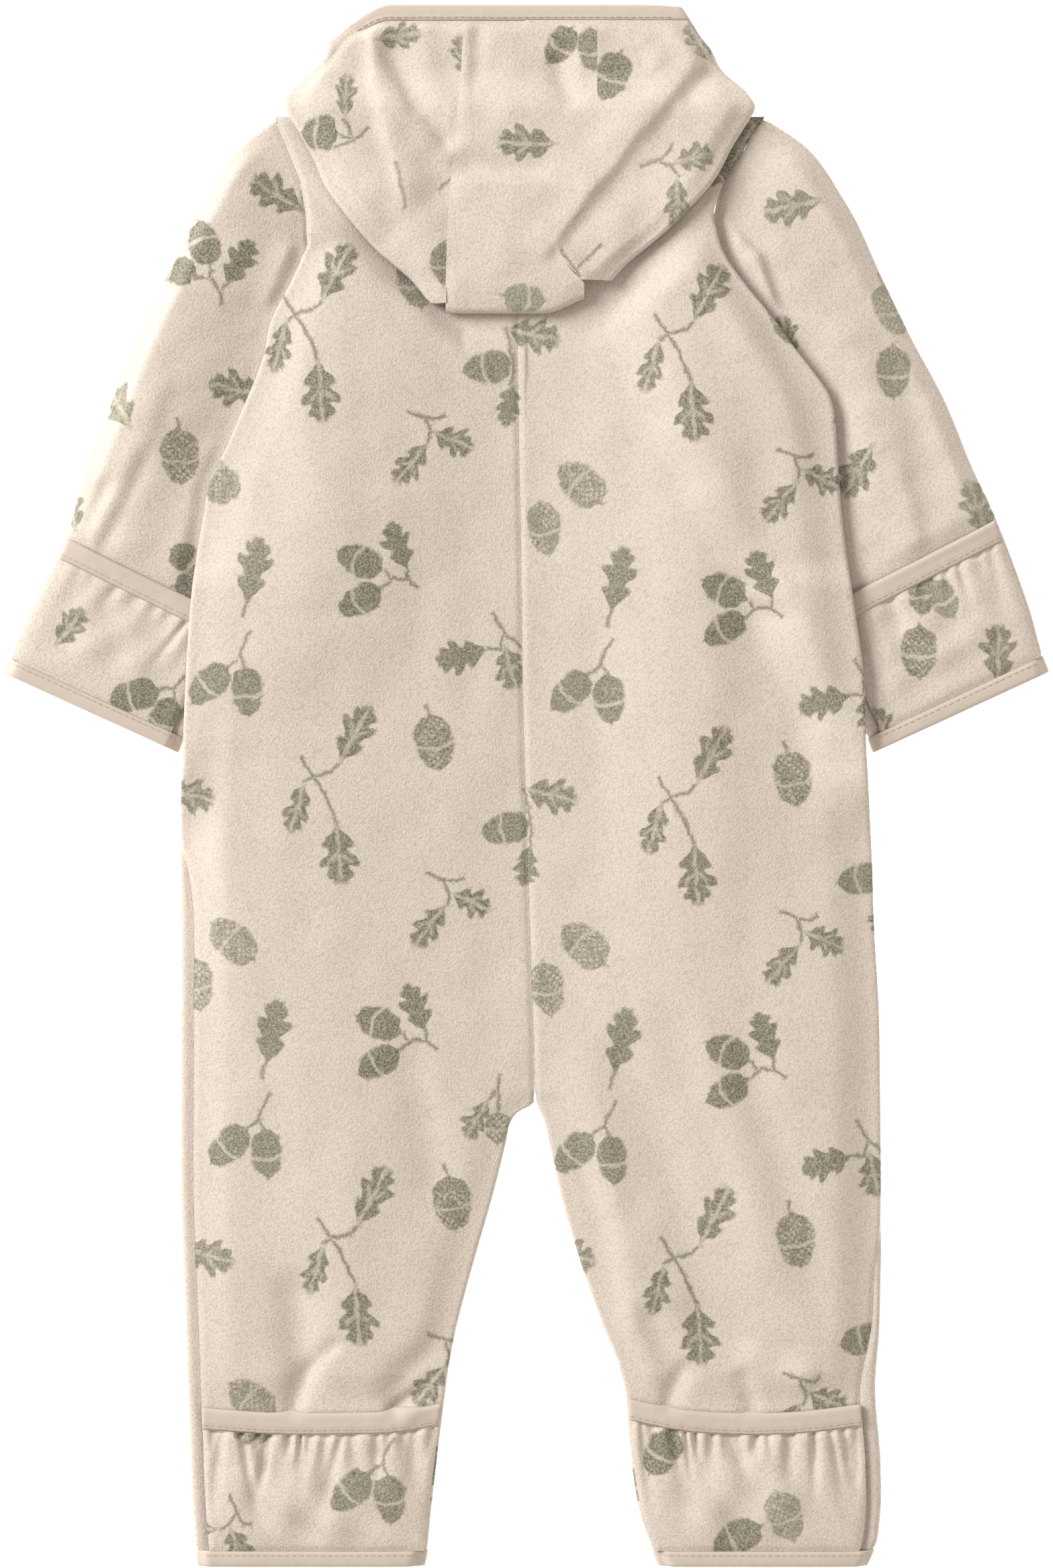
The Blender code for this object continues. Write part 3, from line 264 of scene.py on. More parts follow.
def motif(parts, *stems):
    """A group's parts: leaves, acorns and wide stems, and then the stems of usual width,
    each given as the points that it runs through."""
    runs = [(STEM, *start, *end, STEM_HALF, 0)
            for stem in stems for start, end in zip(stem, stem[1:])]
    return table("kind x0 y0 x1 y1 half style", *parts, *runs)


MOTIFS = {
    "A": motif(
        [(LEAF, 4.9, 12.9, 18.4, 38.4, 8, 1), (LEAF, -10.1, 4.8, -16.5, -17.7, 6, 1),
         (LEAF, 3.9, -13.2, 5.9, -40.2, 9, 1)],
        ((-12, 15.9), (-6.5, 7.3), (-1.5, -0.5), (3.9, -13.2)),
        ((-6.5, 7.6), (1.5, 9.3), (4.9, 12.9)), ((-6.5, 7.3), (-10.1, 4.8))),
    "B": motif(
        [(LEAF, -0.6, -1.6, -14.6, -19.6, 6.5, 1), (LEAF, 1.9, 3.4, 18.9, -4.1, 7, 1)],
        ((-8.6, 12.3), (-1.6, 9.3), (0.9, 3.4), (-0.1, -1.6)),
        ((-1.6, 9.3), (4.4, 8.8), (6.9, 10.3))),
    "C": motif(
        [(LEAF, 11.4, 1.8, 3.4, 22.8, 7, 0), (ACORN, 0.4, 1.8, -19.1, 10.3, 7, 1),
         (ACORN, -0.1, -5.7, -18.6, -16.7, 6.5, 0)],
        ((15.9, -5.2), (11.4, -2.2), (5.4, -1.2), (1.4, -4.7), (-0.1, -6.7)),
        ((11.4, -2.2), (10.9, 2.3)), ((3.4, -1.5), (2, 1.3))),
    "D": motif([(LEAF, -3, -14, 3, 15, 8, 0)], ((-4.6, -19.5), (-3.3, -14))),
    "E": motif(
        [(ACORN, -5, 1.4, -21.5, -14.6, 7, 1), (ACORN, 2.5, 1.4, 4.5, -21.1, 6.8, 0)],
        ((5, 16.3), (1, 9.3), (0, 5.4), (2.5, 0.9)), ((0.5, 5.4), (-5, 1.4))),
    "F": motif(
        [(LEAF, -4.1, -2.6, -26.1, -8.6, 8, 0), (LEAF, 3.4, -1.1, 8.4, -20.6, 8, 1)],
        ((-1.6, 12.8), (3.4, 4.3), (11.4, -2.7)), ((2.9, 3.4), (1.4, -2.6), (-4.1, -2.6))),
    "G": motif([(ACORN, -2, 12.4, 2.4, -12.6, 8.5, 2)], ((-3.4, 16), (-1.6, 11))),
    "I": motif(
        [(LEAF, -1, 12, 22.5, 6.5, 8.5, 1), (ACORN, 2.3, -3.7, -19.6, -7.7, 7, 0),
         (LEAF, 2, -13, -1, -31, 6, 0)],
        ((-1, 12), (1, 4), (2.3, -3.7), (2, -13))),
    "J": motif(
        [(ACORN, 13.5, 2.4, -5.5, 19.4, 8.3, 2), (ACORN, -14.5, 3.9, -11, -20.1, 7.3, 2)]),
    "K": motif(
        [(LEAF, -2.5, 3.5, -12.5, -13.5, 6, 1), (ACORN, 1.5, -1.5, 1, -16.5, 5.5, 2)],
        ((2, 13.7), (1.5, -1)), ((1.5, 8), (-2.5, 3.5))),
    "L": motif(
        [(LEAF, 1.5, 6.5, 2.5, 27, 5.2, 1), (ACORN, -1, 0, -18, 1, 7.5, 0)],
        ((-1, 0), (6, -2.6), (12, 2)), ((1.5, 6.5), (5, -2)), ((-3, -6), (6, -2.6))),
    "leaf": motif([(LEAF, 0, -13, 0, 13, 8.5, 1)]),
    "small leaf": motif([(LEAF, 0, -10, 0, 10, 6.5, 1)]),
    "small acorn": motif([(ACORN, 0, 9.5, 0, -9.5, 6.3, 0)]),
    "twig": motif([], ((0, -7), (0, 7))),
    "thread": motif([(STEM, 0, -10, 0, 10, 1.0, 0)]),
    "acorn": motif([(ACORN, 0, 12, 0, -12, 7.5, 0)]),
    "pale acorn": motif([(ACORN, 0, 12, 0, -12, 8, 2)]),
}
# The repeat of the print on the back, at the left panel: group, place, and how light its
# colour is, from 0 to 1.
REPEAT = (
    ("A", -88, 345, 0.13), ("B", -35, 297, 0.15), ("C", -64, 442, 0.1),
    ("D", -121, 443, 0.39), ("E", -127, 400, 0.4), ("F", -13, 412, 0.25),
    ("G", -41, 368, 0.2), ("I", 0, 335, 0.4), ("J", -134, 268, 0.6))
REPEAT_UP = 205.5        # height of one repeat of the print
REPEAT_ACROSS = 161.0
LEFT_DRIFT, RIGHT_DRIFT = 8.0, 1.5        # place across gained with each repeat downwards
RIGHT_SHEAR, SHEAR_FROM = 0.154, 140.3    # how the right panel's cloth was cut askew
RIGHT_LEAN, LEAN_FROM = 0.0316, 413.0
RIGHT_DROP = 1.0         # how much lower the print lies on the right panel
# On the left leg the cloth was eased in, and two of its groups lie otherwise.
LEG_PRINT = (("K", -14, 205, 0, 0.3), ("B", -35, 91.5, 0, 0.2))
# Motifs on the other pieces, where the cloth was cut with no regard to the repeat:
# group, place, turn in degrees and lightness.
SLEEVE_PRINT = {
    "left": (("leaf", -110.6, 611.7, 60, 0.1), ("C", -142, 578.5, -50, 0.1),
             ("leaf", -128, 525, 80, 0.1), ("G", -154.3, 495.5, -8, 0.25),
             ("leaf", -182.4, 519, 30, 0.6), ("small acorn", -150.5, 449, 60, 0.1),
             ("small acorn", -148, 437, 90, 0.1), ("small leaf", -203, 472, 10, 0.5)),
    "right": (("leaf", 118.9, 606.5, 102, 0.45), ("G", 163.7, 561.7, 10, 0.9),
              ("acorn", 163.7, 533, 0, 0.6), ("leaf", 148, 489, 150, 0.25),
              ("leaf", 202, 471.6, 20, 0.7), ("small leaf", 116, 548, 10, 0.1)),
}
MITT_PRINT = {
    "left": (("small leaf", -203.5, 418.5, -38, 0.3), ("E", -159.6, 387.6, -30, 0.1)),
    "right": (("small acorn", 176.5, 434, 0, 0.4), ("small acorn", 186, 431.5, 30, 0.8),
              ("pale acorn", 175.3, 408.3, 0, 0.2), ("leaf", 210.6, 406.8, 0, 0.3),
              ("small leaf", 159.6, 373.8, 30, 0.2)),
}
FOOT_PRINT = {
    "left": (("small leaf", -120.5, 60.5, 80, 0.3), ("E", -64.3, 40.8, 0, 0.4),
             ("B", -135, 17.5, -50, 0.2)),
    "right": (("acorn", 61, 51.3, -30, 0.1), ("pale acorn", 115.4, 23.3, 20, 0.7),
              ("acorn", 94.3, 12.8, -60, 0.2)),
}
HOOD_PRINT = {
    "left": (("small leaf", -57, 682.5, -82, 0.35), ("small leaf", -27.5, 673, 10, 0.5),
             ("L", -82, 638, 0, 0.2), ("thread", -55.3, 615, 13, 0.9),
             ("small acorn", -36, 580.6, 0, 0.45), ("twig", -33, 618, -50, 0.5)),
    "centre": (("small acorn", 15.8, 680.5, -35, 0.15), ("small acorn", 29.5, 678, 5, 0.45),
               ("leaf", 0.8, 635.5, 88, 0.3), ("small acorn", -0.8, 566.5, 85, 0.9)),
    "right": (("acorn", 38.6, 664.7, -20, 0.25), ("small leaf", 78, 680, 30, 0.8),
              ("B", 66.3, 620.5, 40, 0.55), ("twig", 19.8, 580.6, 37, 0.4),
              ("twig", 28, 583, -45, 0.5)),
}
ARMHOLE_LEAF = ("leaf", 96, 633, -30, 0.1)

# Half width of a leaf and of an acorn along its middle line, as a share of the widest.
LEAF_OUTLINE = (
    (0.0, 0.08), (0.08, 0.20), (0.16, 0.62), (0.24, 0.78), (0.31, 0.62), (0.37, 0.50),
    (0.45, 0.90), (0.53, 1.0), (0.60, 0.78), (0.66, 0.50), (0.74, 0.68), (0.82, 0.62),
    (0.88, 0.36), (0.95, 0.30), (1.0, 0.06))
ACORN_OUTLINE = (
    (0.0, 0.08), (0.05, 0.25), (0.10, 0.60), (0.20, 0.88), (0.34, 1.0), (0.50, 1.0),
    (0.60, 0.96), (0.72, 0.88), (0.84, 0.70), (0.92, 0.50), (0.97, 0.28), (1.0, 0.06))
LOBE_SWEEP = 0.16        # how far a leaf's lobes lean towards its tip, of its length
INK_BEYOND = 0.8         # how far ink runs on beyond the two ends of a part
MOTIF_EDGE = 5.0         # distance outside a part up to which a face still belongs to it
NOWHERE = 50.0           # place of the faces that belong to no part, well outside any


# --- sizes and colours that a user would change ---

def srgb(text):
    """A colour written as hex sRGB, as the linear numbers that shaders take."""
    parts = [int(text[i:i + 2], 16) / 255 for i in (1, 3, 5)]
    return tuple(v / 12.92 if v <= 0.04045 else ((v + 0.055) / 1.055) ** 2.4 for v in parts)


class PramsuitCloth(bpy.types.PropertyGroup):
    """How full the cloth is and how it is sewn."""
    back_puff: bpy.props.FloatProperty(
        name="Back puff", description="Height of the back's broad forms, as a share of the map",
        default=1.0, min=0, max=1.5)
    sleeve_puff: bpy.props.FloatProperty(
        name="Sleeve puff", description="How far a sleeve's top layer stands up, in mm",
        default=5.4, min=0, max=8)
    hood_puff: bpy.props.FloatProperty(
        name="Hood puff", description="How far the hood's panels stand up, in mm",
        default=2.2, min=0, max=5)
    crease: bpy.props.FloatProperty(
        name="Creases", description="Depth of the folds, as a share of those in the tables",
        default=1.0, min=0, max=2, subtype="FACTOR")
    seam_dip: bpy.props.FloatProperty(
        name="Seam dip", description="Depth to which fleece sinks at a seam, in mm",
        default=0.7, min=0, max=1.6)
    stitch: bpy.props.FloatProperty(
        name="Stitch length", description="Distance from one topstitch to the next",
        default=0.0031, min=0.002, max=0.006, unit="LENGTH")


class PramsuitPrint(bpy.types.PropertyGroup):
    """The print of leaves and acorns."""
    fuzz: bpy.props.FloatProperty(
        name="Edge", description="Width over which the ink fades out at its edge, in mm",
        default=1.5, min=0.2, max=3)
    dark: bpy.props.FloatVectorProperty(
        name="Dark ink", description="Colour of the darkest motifs", subtype="COLOR",
        size=3, default=srgb("#74735F"))
    light: bpy.props.FloatVectorProperty(
        name="Light ink", description="Colour of the palest motifs", subtype="COLOR",
        size=3, default=srgb("#A09F8A"))


class PramsuitColours(bpy.types.PropertyGroup):
    """Colours of the cloth, bindings and zip."""
    fleece: bpy.props.FloatVectorProperty(
        name="Fleece", description="Ground colour of the printed fleece", subtype="COLOR",
        size=3, default=srgb("#EFE3D7"))
    binding: bpy.props.FloatVectorProperty(
        name="Binding", description="Colour of the bindings", subtype="COLOR",
        size=3, default=srgb("#DACDC1"))
    thread: bpy.props.FloatVectorProperty(
        name="Thread", description="Colour of the topstitching", subtype="COLOR",
        size=3, default=srgb("#CBB9A4"))
    zip: bpy.props.FloatVectorProperty(
        name="Zip", description="Colour of the zip's tape, teeth and slider",
        subtype="COLOR", size=3, default=srgb("#D8CAB9"))


class PramsuitStage(bpy.types.PropertyGroup):
    """Light and camera."""
    key: bpy.props.FloatProperty(
        name="Key light", description="Power of the large light at the upper left",
        default=168, min=0, max=500, unit="POWER")
    sky: bpy.props.FloatProperty(
        name="Surrounding light", description="Strength of the light from all round",
        default=0.40, min=0, max=2)
    camera_height: bpy.props.FloatProperty(
        name="Camera height", description="Height of the camera over the suit",
        default=1.950, min=1, max=5, unit="LENGTH")


# --- curves and folds ---

def step_of(stations, at):
    """The row of a table that a place comes after, the distance from that row to the
    next, and the share of that distance at which the place lies."""
    row = np.clip(np.searchsorted(stations, at, side="right") - 1, 0, len(stations) - 2)
    span = stations[row + 1] - stations[row]
    return row, span, (at - stations[row]) / span


def cubic(t, low, high, rise, next_rise):
    """A cubic from low to high as t goes from 0 to 1, with these slopes at its ends."""
    return (low * (1 + 2 * t) * (1 - t) ** 2 + rise * t * (1 - t) ** 2
            + high * t * t * (3 - 2 * t) + next_rise * t * t * (t - 1))


def along(at, stations, values):
    """Smooth curve through a table's rows: a cubic from row to row, whose slope at a
    row is that of the line between the rows on each side of it."""
    slope = np.gradient(values, stations)
    row, span, t = step_of(stations, np.clip(at, stations[0], stations[-1]))
    return cubic(t, values[row], values[row + 1], slope[row] * span, slope[row + 1] * span)


def ease(t):
    """Smooth step: 0 below 0, 1 above 1, and t squared times (3 - 2t) between."""
    t = np.clip(t, 0, 1)
    return t * t * (3 - 2 * t)


def plateaus(at, stations, values):
    """A table's values, level at each row, with a smooth step from row to row."""
    row, _, t = step_of(stations, at)
    return values[row] + ease(t) * (values[row + 1] - values[row])


def stretches(*parts):
    """Even steps over each stretch of a line, given as (from, to, steps)."""
    pieces = [np.linspace(start, stop, steps, endpoint=False) for start, stop, steps in parts]
    return np.append(np.concatenate(pieces), parts[-1][1])


def creases(rows, x, y):
    """Sum of the creases at a point. Each is a bell curve across its line, as wide on
    each side as its table row says, and fades out towards the line's two ends. Lines
    sway a little to either side, as no fold is straight."""
    total = np.zeros(np.broadcast(x, y).shape)
    for k, (x0, y0, x1, y1, left, right, height) in enumerate(zip(*rows.values())):
        run = np.hypot(x1 - x0, y1 - y0)
        ax, ay = (x1 - x0) / run, (y1 - y0) / run
        way = ((x - x0) * ax + (y - y0) * ay) / run
        sway = 0.16 * min(left, right) * np.sin(way * (4.0 + k % 3) + k * 2.1)
        off = (x - x0) * ay - (y - y0) * ax + sway
        spread = np.where(off < 0, left, right)
        ends = ease(way / 0.3 + 0.35) * ease((1 - way) / 0.3 + 0.35)
        total += height * np.exp(-(off / spread) ** 2) * ends
    return total * bpy.context.scene.pramsuit_cloth.crease


def waves(x, y, size, seed, count=7):
    """Smooth unevenness, about -1 to 1: the sum of sine waves that run in all
    directions, each from 0.7 to 1.6 times size long."""
    chance = np.random.default_rng(seed)
    turn, phase = chance.uniform(0, 2 * pi, (2, count))
    length = size * chance.uniform(0.7, 1.6, count)
    total = 0
    for k in range(count):
        total = total + np.sin((x * cos(turn[k]) + y * sin(turn[k])) * 2 * pi / length[k]
                               + phase[k])
    return total / np.sqrt(count)


def over_map(rise, x, y):
    """Height on a map drawn as a table: a smooth curve across along each of its rows, and
    a cubic up from row to row, whose slope at a row is that between the rows round it."""
    heights = np.array(sorted(rise), float)
    lines = np.array([along(x, RISE_ACROSS, np.array(rise[h], float)) for h in heights])
    slopes = np.gradient(lines, heights, axis=0)
    row, span, t = step_of(heights, np.clip(y, heights[0], heights[-1]))
    low, high, slope, next_slope = (
        np.take_along_axis(values, k[None], 0)[0]
        for values, k in ((lines, row), (lines, row + 1), (slopes, row), (slopes, row + 1)))
    return cubic(t, low, high, slope * span, next_slope * span)


def section(c, roll, flat):
    """Walk round two layers pressed flat. c is the distance walked from the middle of
    the near edge, over the top where it is positive and underneath where it is negative:
    a quarter turn of the edge, the flat, and a quarter turn at the far edge. Returns the
    way across, from where the flat starts, and the level, 1 on top and -1 underneath."""
    s = np.abs(c) - roll * QUARTER
    near = np.clip(-s / roll, 0, QUARTER)
    far = np.clip((s - flat) / roll, 0, QUARTER)
    across = np.clip(s, 0, flat) - roll * np.sin(near) + roll * np.sin(far)
    return across, np.sign(c) * np.cos(near) * np.cos(far)


# --- the body ---

def body_edge(side, y):
    """Place across of the body's outer edge: the armhole seam above, the side below."""
    part = SIDES[side]
    armhole = along(y, *part["armhole"].values()) + part["sign"] * ARMHOLE_SEAM / 2
    edge = along(y, part["side"]["height"], part["side"]["edge"])
    return edge + (armhole - edge) * ease((y - part["split"][0]) / ARMHOLE_BLEND)


def body_inner(side, y):
    """Place across of the body's inner edge: the leg's inseam, then the centre seam."""
    part = SIDES[side]
    inseam = along(y, *part["inseam"].values())
    return np.where(y < CROTCH, inseam, along(y, *CENTRE.values())) - part["sign"] * SEAM / 2


def body_turns(side, y):
    """Angles that the outer and the inner edge turn through. They fall to nothing where
    the two layers part, at the armhole and above the crotch."""
    low, high = SIDES[side]["split"]
    return (QUARTER * (1 - ease((y - low) / (high - low))),
            QUARTER * (1 - ease((y - CROTCH) / CROTCH_OPENS)))


def body_flat(side, y):
    """Width of the flat of the body between its two turned edges."""
    outer, inner = body_turns(side, y)
    width = np.abs(body_inner(side, y) - body_edge(side, y))
    return width - BODY_ROLL * (np.sin(outer) + np.sin(inner))


def sleeve_reach(side, y):
    """Distance across from the middle line to where the slope down off a sleeve starts,
    a little in from the sleeve's hidden edge."""
    hidden = SIDES[side]["hidden"]
    return plateaus(y, hidden["height"], hidden["reach"]) - SLOPE_IN


def lift(x, y):
    """How high the body lies over what is under it: a sleeve out at its side edges, and
    from there a slope down to the ground."""
    height = 0
    for side, part in SIDES.items():
        high = plateaus(y, part["hidden"]["height"], part["hidden"]["lift"])
        in_from = sleeve_reach(side, y) + part["sign"] * x
        height = height + np.where(part["sign"] * x < 0, high * (1 - ease(in_from / SLOPE)), 0)
    return height


def spanned(x, y):
    """How much higher the back lies than the front along its soft span on the left."""
    height = along(y, *SPAN.values())
    wide = height * (1 - ease((sleeve_reach("left", y) + x) / SPAN_WIDTH))
    return np.maximum(np.where(x < 0, wide, 0) - lift(x, y) * (x < 0), 0)


def under_hood(x, y):
    """1 clear of the hood, falling to 0 where the hood lies on the back."""
    outline = 556 + 0.85 * np.maximum(np.abs(x) - 28, 0)
    return ease((outline - y) / 18)


def back_relief(side, x, y, s, flat):
    """Height that the back stands over its flat: a soft puff with the creases on it,
    down to nothing at rolled edges, under the hood and under the foot flaps."""
    outer, inner = body_turns(side, y)
    near = 1 - (1 - ease((s + 2) / PUFF_OUTER)) * outer / QUARTER
    far = 1 - (1 - ease((flat - s + 2) / PUFF_INNER)) * inner / QUARTER
    puff = bpy.context.scene.pramsuit_cloth.back_puff * over_map(BACK_RISE, x, y)
    puff = puff + spanned(x, y) + 0.3 * waves(x, y, 62, 3) + 0.13 * waves(x, y, 19, 4)
    puff = puff * (1 - 0.75 * ease((PRESSED - y) / 16))
    puff = puff + creases(BACK_CREASES, x, y) * ease((y - SMOOTHED) / 8)
    return puff * near * far * under_hood(x, y)


def body(side, c, y):
    """The body's outer surface, at c round its section and y up it."""
    sign = SIDES[side]["sign"]
    outer = body_turns(side, y)[0]
    flat = body_flat(side, y)
    across, level = section(c, BODY_ROLL, flat)
    x = body_edge(side, y) + sign * (BODY_ROLL * np.sin(outer) + across)
    s = np.abs(c) - BODY_ROLL * QUARTER
    z = lift(x, y) + BODY_ROLL * (1 + level)
    z = z + np.where(c > 0, back_relief(side, x, y, s, flat), 0)
    return np.stack(np.broadcast_arrays(x, y, z), -1)


def body_unrolled(side, c, y):
    """Place of the cloth on the print: its place across as if its edges lay flat."""
    part = SIDES[side]
    outer = body_turns(side, y)[0]
    s = np.abs(c) - BODY_ROLL * QUARTER
    x = body_edge(side, y) + part["sign"] * (BODY_ROLL * np.sin(outer) + s)
    return np.stack(np.broadcast_arrays(x, y), -1)


def side_seam(side, y):
    """Where the side seam lies round the section."""
    rows = SIDES[side]["side"]
    inset = along(y, rows["height"], rows["inset"])
    return np.where(inset > 0.5, ease(inset / 3) * (BODY_ROLL * QUARTER - BODY_ROLL + inset), 0)


def zip_room(y):
    """Half the width left for the zip between the fronts, closed below its lower end."""
    return ZIP_HALF * ease((y - ZIP_END) / ZIP_WIDENS)


def body_ends(side, y, top):
    """Start and end of the back (top) or the front round the section, less the seams."""
    outer, inner = body_turns(side, y)
    quarter = BODY_ROLL * QUARTER
    parted = quarter - BODY_ROLL * outer
    seam = side_seam(side, y)
    start = np.where(top, np.maximum(seam, parted) + SEAM / 2, seam - parted - SEAM / 2)
    end = quarter + body_flat(side, y) + BODY_ROLL * inner - SEAM / 2 * inner / QUARTER
    if not top:
        end = -(end - (zip_room(y) + SEAM / 2) * (1 - inner / QUARTER))
    return start, end


def columns_between(knots, cells):
    """Columns of a grid: each row's knots, with an even number of cells to each gap."""
    parts = [low[:, None] + (high - low)[:, None] * np.linspace(0, 1, count, endpoint=False)
             for low, high, count in zip(knots, knots[1:], cells)]
    return np.concatenate(parts + [knots[-1][:, None]], axis=1)


# --- the sleeves ---

def sleeve_width(side, way):
    """Width of the flattened sleeve, and the two ends of the line across it."""
    rows = SIDES[side]["sleeve"]
    ox, oy, ix, iy = (along(way, rows["way"], rows[name])
                      for name in ("outer_x", "outer_y", "inner_x", "inner_y"))
    return np.hypot(ix - ox, iy - oy), ox, oy, ix, iy


def sleeve_place(side, s, way):
    """Place on the ground plan of a point at s across the sleeve's flat. Towards its
    upper end each line across bends to the shape of the armhole."""
    width, ox, oy, ix, iy = sleeve_width(side, way)
    part = (SLEEVE_ROLL + s) / width
    x, y = ox + (ix - ox) * part, oy + (iy - oy) * part
    heights, places = SIDES[side]["armhole"].values()
    height = heights[-1] + (heights[0] - heights[-1]) * part
    chord = places[-1] + (places[0] - places[-1]) * part
    bend = ease((way - 160) / 86)
    shaped = along(height, heights, places) - SIDES[side]["sign"] * ARMHOLE_SEAM / 2
    return x + bend * (shaped - chord), y


def sleeve_relief(side, x, y, s, flat, way):
    """Height that a sleeve's top layer stands over its flat: it rises all the way from
    the body, which presses it down, to its outer edge. The creases are added to that."""
    clear = np.abs(x) - np.abs(body_edge(side, y))
    outer = 18 if side == "left" else 20
    edges = ease((s + 2) / 9) * ease((flat - s + 2) / outer) * ease((250 - way) / 22)
    rise = ease((clear + 1) / 38) if side == "left" else 0.55 * ease((clear + 6) / 34)
    broad = bpy.context.scene.pramsuit_cloth.sleeve_puff * rise
    fine = creases(SLEEVE_CREASES, x, y) + 0.4 * waves(x, y, 50, 11) + 0.2 * waves(x, y, 17, 12)
    relief = broad + (fine + 0.6) * ease((clear - 1) / 7)
    return np.maximum(relief, 0.2) * edges * (1 - 0.8 * ease((76 - way) / 16))


def sleeve(side, c, way):
    """The sleeve's outer surface, at c round its section and a distance up from the
    cuff."""
    flat = sleeve_flats(side, way)
    across, level = section(c, SLEEVE_ROLL, flat)
    x, y = sleeve_place(side, across, way)
    s = np.abs(c) - SLEEVE_ROLL * QUARTER
    relief = np.where(c > 0, sleeve_relief(side, x, y, s, flat, way), 0)
    return np.stack(np.broadcast_arrays(x, y, SLEEVE_ROLL * (1 + level) + relief), -1)


def sleeve_unrolled(side, c, way):
    """Place of the cloth on the print, as if the sleeve's edges lay flat."""
    return np.stack(sleeve_place(side, np.abs(c) - SLEEVE_ROLL * QUARTER, way), -1)


# --- the hood ---

def hood_base(y):
    """Height of the hood's top layer over the ground, less its own thickness: it lies on
    the back, and beyond the shoulders it sinks to the ground."""
    return (2 * BODY_ROLL + 2 * LAY) * (1 - ease((y - 648) / 20))


def hood_floor(x):
    """Height of the hood's face edge where it runs round underneath, at the chin."""
    return CHIN + 18 * (np.abs(x) / 80) ** 2


def hood_line(side, row):
    """Where a line across a side panel meets the seam, and its place on the fold."""
    part = SIDES[side]["hood"]
    return [along(row, part["height"], part[name]) for name in ("seam", "edge_x", "edge_y")]


def hood_over(side, row):
    """Distance round a side panel from its fold to its seam, on the top layer."""
    seam, edge, _ = hood_line(side, row)
    return HOOD_ROLL * (QUARTER - 1) + np.abs(seam - edge)


def hood_dip(x, y):
    """Depth of the hood's seams: the nap hides the right one, and most of the left one
    lower down."""
    left = 0.8 - 0.5 * ease((650 - y) / 12) * ease((y - 575) / 12)
    return bpy.context.scene.pramsuit_cloth.seam_dip * np.where(x > 0, 0.06, left)


def hood_relief(x, y):
    """Height that the hood's top layer stands over its flat: a puff with creases."""
    puff = bpy.context.scene.pramsuit_cloth.hood_puff + creases(HOOD_CREASES, x, y)
    return puff + 0.35 * waves(x, y, 44, 21) + 0.15 * waves(x, y, 15, 22)


def hood_lap(x, c):
    """How far the left panel's fleece laps over the binding at its side fold: 0 to 1."""
    return ease((-70 - x) / 9) * ease((c + HOOD_ROLL) / 3)


def hood_side(side, c, row, lapped=False):
    """Outer surface of a side panel of the hood: its top layer, the fold at its side and
    its under layer, which lies on the back or, above the neck, on the ground. A line
    across it starts level from its seam and curves down to its own place on the fold."""
    sign = SIDES[side]["sign"]
    seam, edge, edge_y = hood_line(side, row)
    across, level = section(c, HOOD_ROLL, ENDLESS)
    s = np.abs(c) - HOOD_ROLL * QUARTER
    if lapped:
        lap = hood_lap(edge + sign * (HOOD_ROLL + across), c) * ease((row - 676) / 14)
        row = row + LAP_UP * lap
        seam, edge, edge_y = hood_line(side, row)
    x = edge + sign * (HOOD_ROLL + across)
    flat_x = edge + sign * (HOOD_ROLL + np.clip(s, 0, None))
    # How far a line has bent: not at all for a little over half of its way from the seam.
    bent = np.clip(((seam - flat_x) / (seam - edge) - 0.55) / 0.42, 0, 1) ** 1.5
    y = row + (edge_y - row) * bent
    floor = (c < 0) & (row > NECK + 1.5)
    inward = ease(s / 15)
    chin = hood_floor(x) - NECK - FLOOR_UP
    low = NECK + FLOOR_UP + (row - NECK - FLOOR_UP) / (FACE - NECK - FLOOR_UP) * chin
    z = hood_base(y) * np.where(floor, 1 - inward, 1) + lift(x, y) * (row < NECK + 3)
    z = z + HOOD_ROLL * (1 + level)
    bumps = hood_relief(x, y) * ease((s + 2) / 12) * ease((FACE + 3 - row) / 9)
    y = np.where(floor, y + (low - y) * inward, y)
    return np.stack(np.broadcast_arrays(x, y, z + np.where(c > 0, bumps, 0)), -1)


def hood_bottom(x):
    """Outline of the hood's bottom fold across the centre strip."""
    return 558.7 + 7.0 * ease((x - 8) / 22)


def strip_across(y, part):
    """Place across the centre strip, from its left seam (0) to its right one (1)."""
    left = along(y, LEFT_HOOD["height"], LEFT_HOOD["seam"]) + HOOD_SEAM
    right = along(y, RIGHT_HOOD["height"], RIGHT_HOOD["seam"]) - HOOD_SEAM
    return left + (right - left) * part


def hood_centre(part, way):
    """Outer surface of the hood's centre strip. part runs from the left seam to the
    right; way is the distance from the middle of the bottom fold, up the top layer where
    it is positive and up the under layer where it is negative."""
    across, level = section(way, HOOD_ROLL, ENDLESS)
    y = HOOD_ROLL + across + 560
    for _ in range(4):
        x = strip_across(y, part)
        y = hood_bottom(x) + HOOD_ROLL + across
    z = hood_base(y) + HOOD_ROLL * (1 + level)
    bumps = hood_relief(x, y) * ease((HOOD_ROLL + across + 1) / 12)
    z = z + np.where(way > 0, bumps * ease((FACE + 3 - y) / 9), 0)
    return np.stack(np.broadcast_arrays(x, y, z), -1)


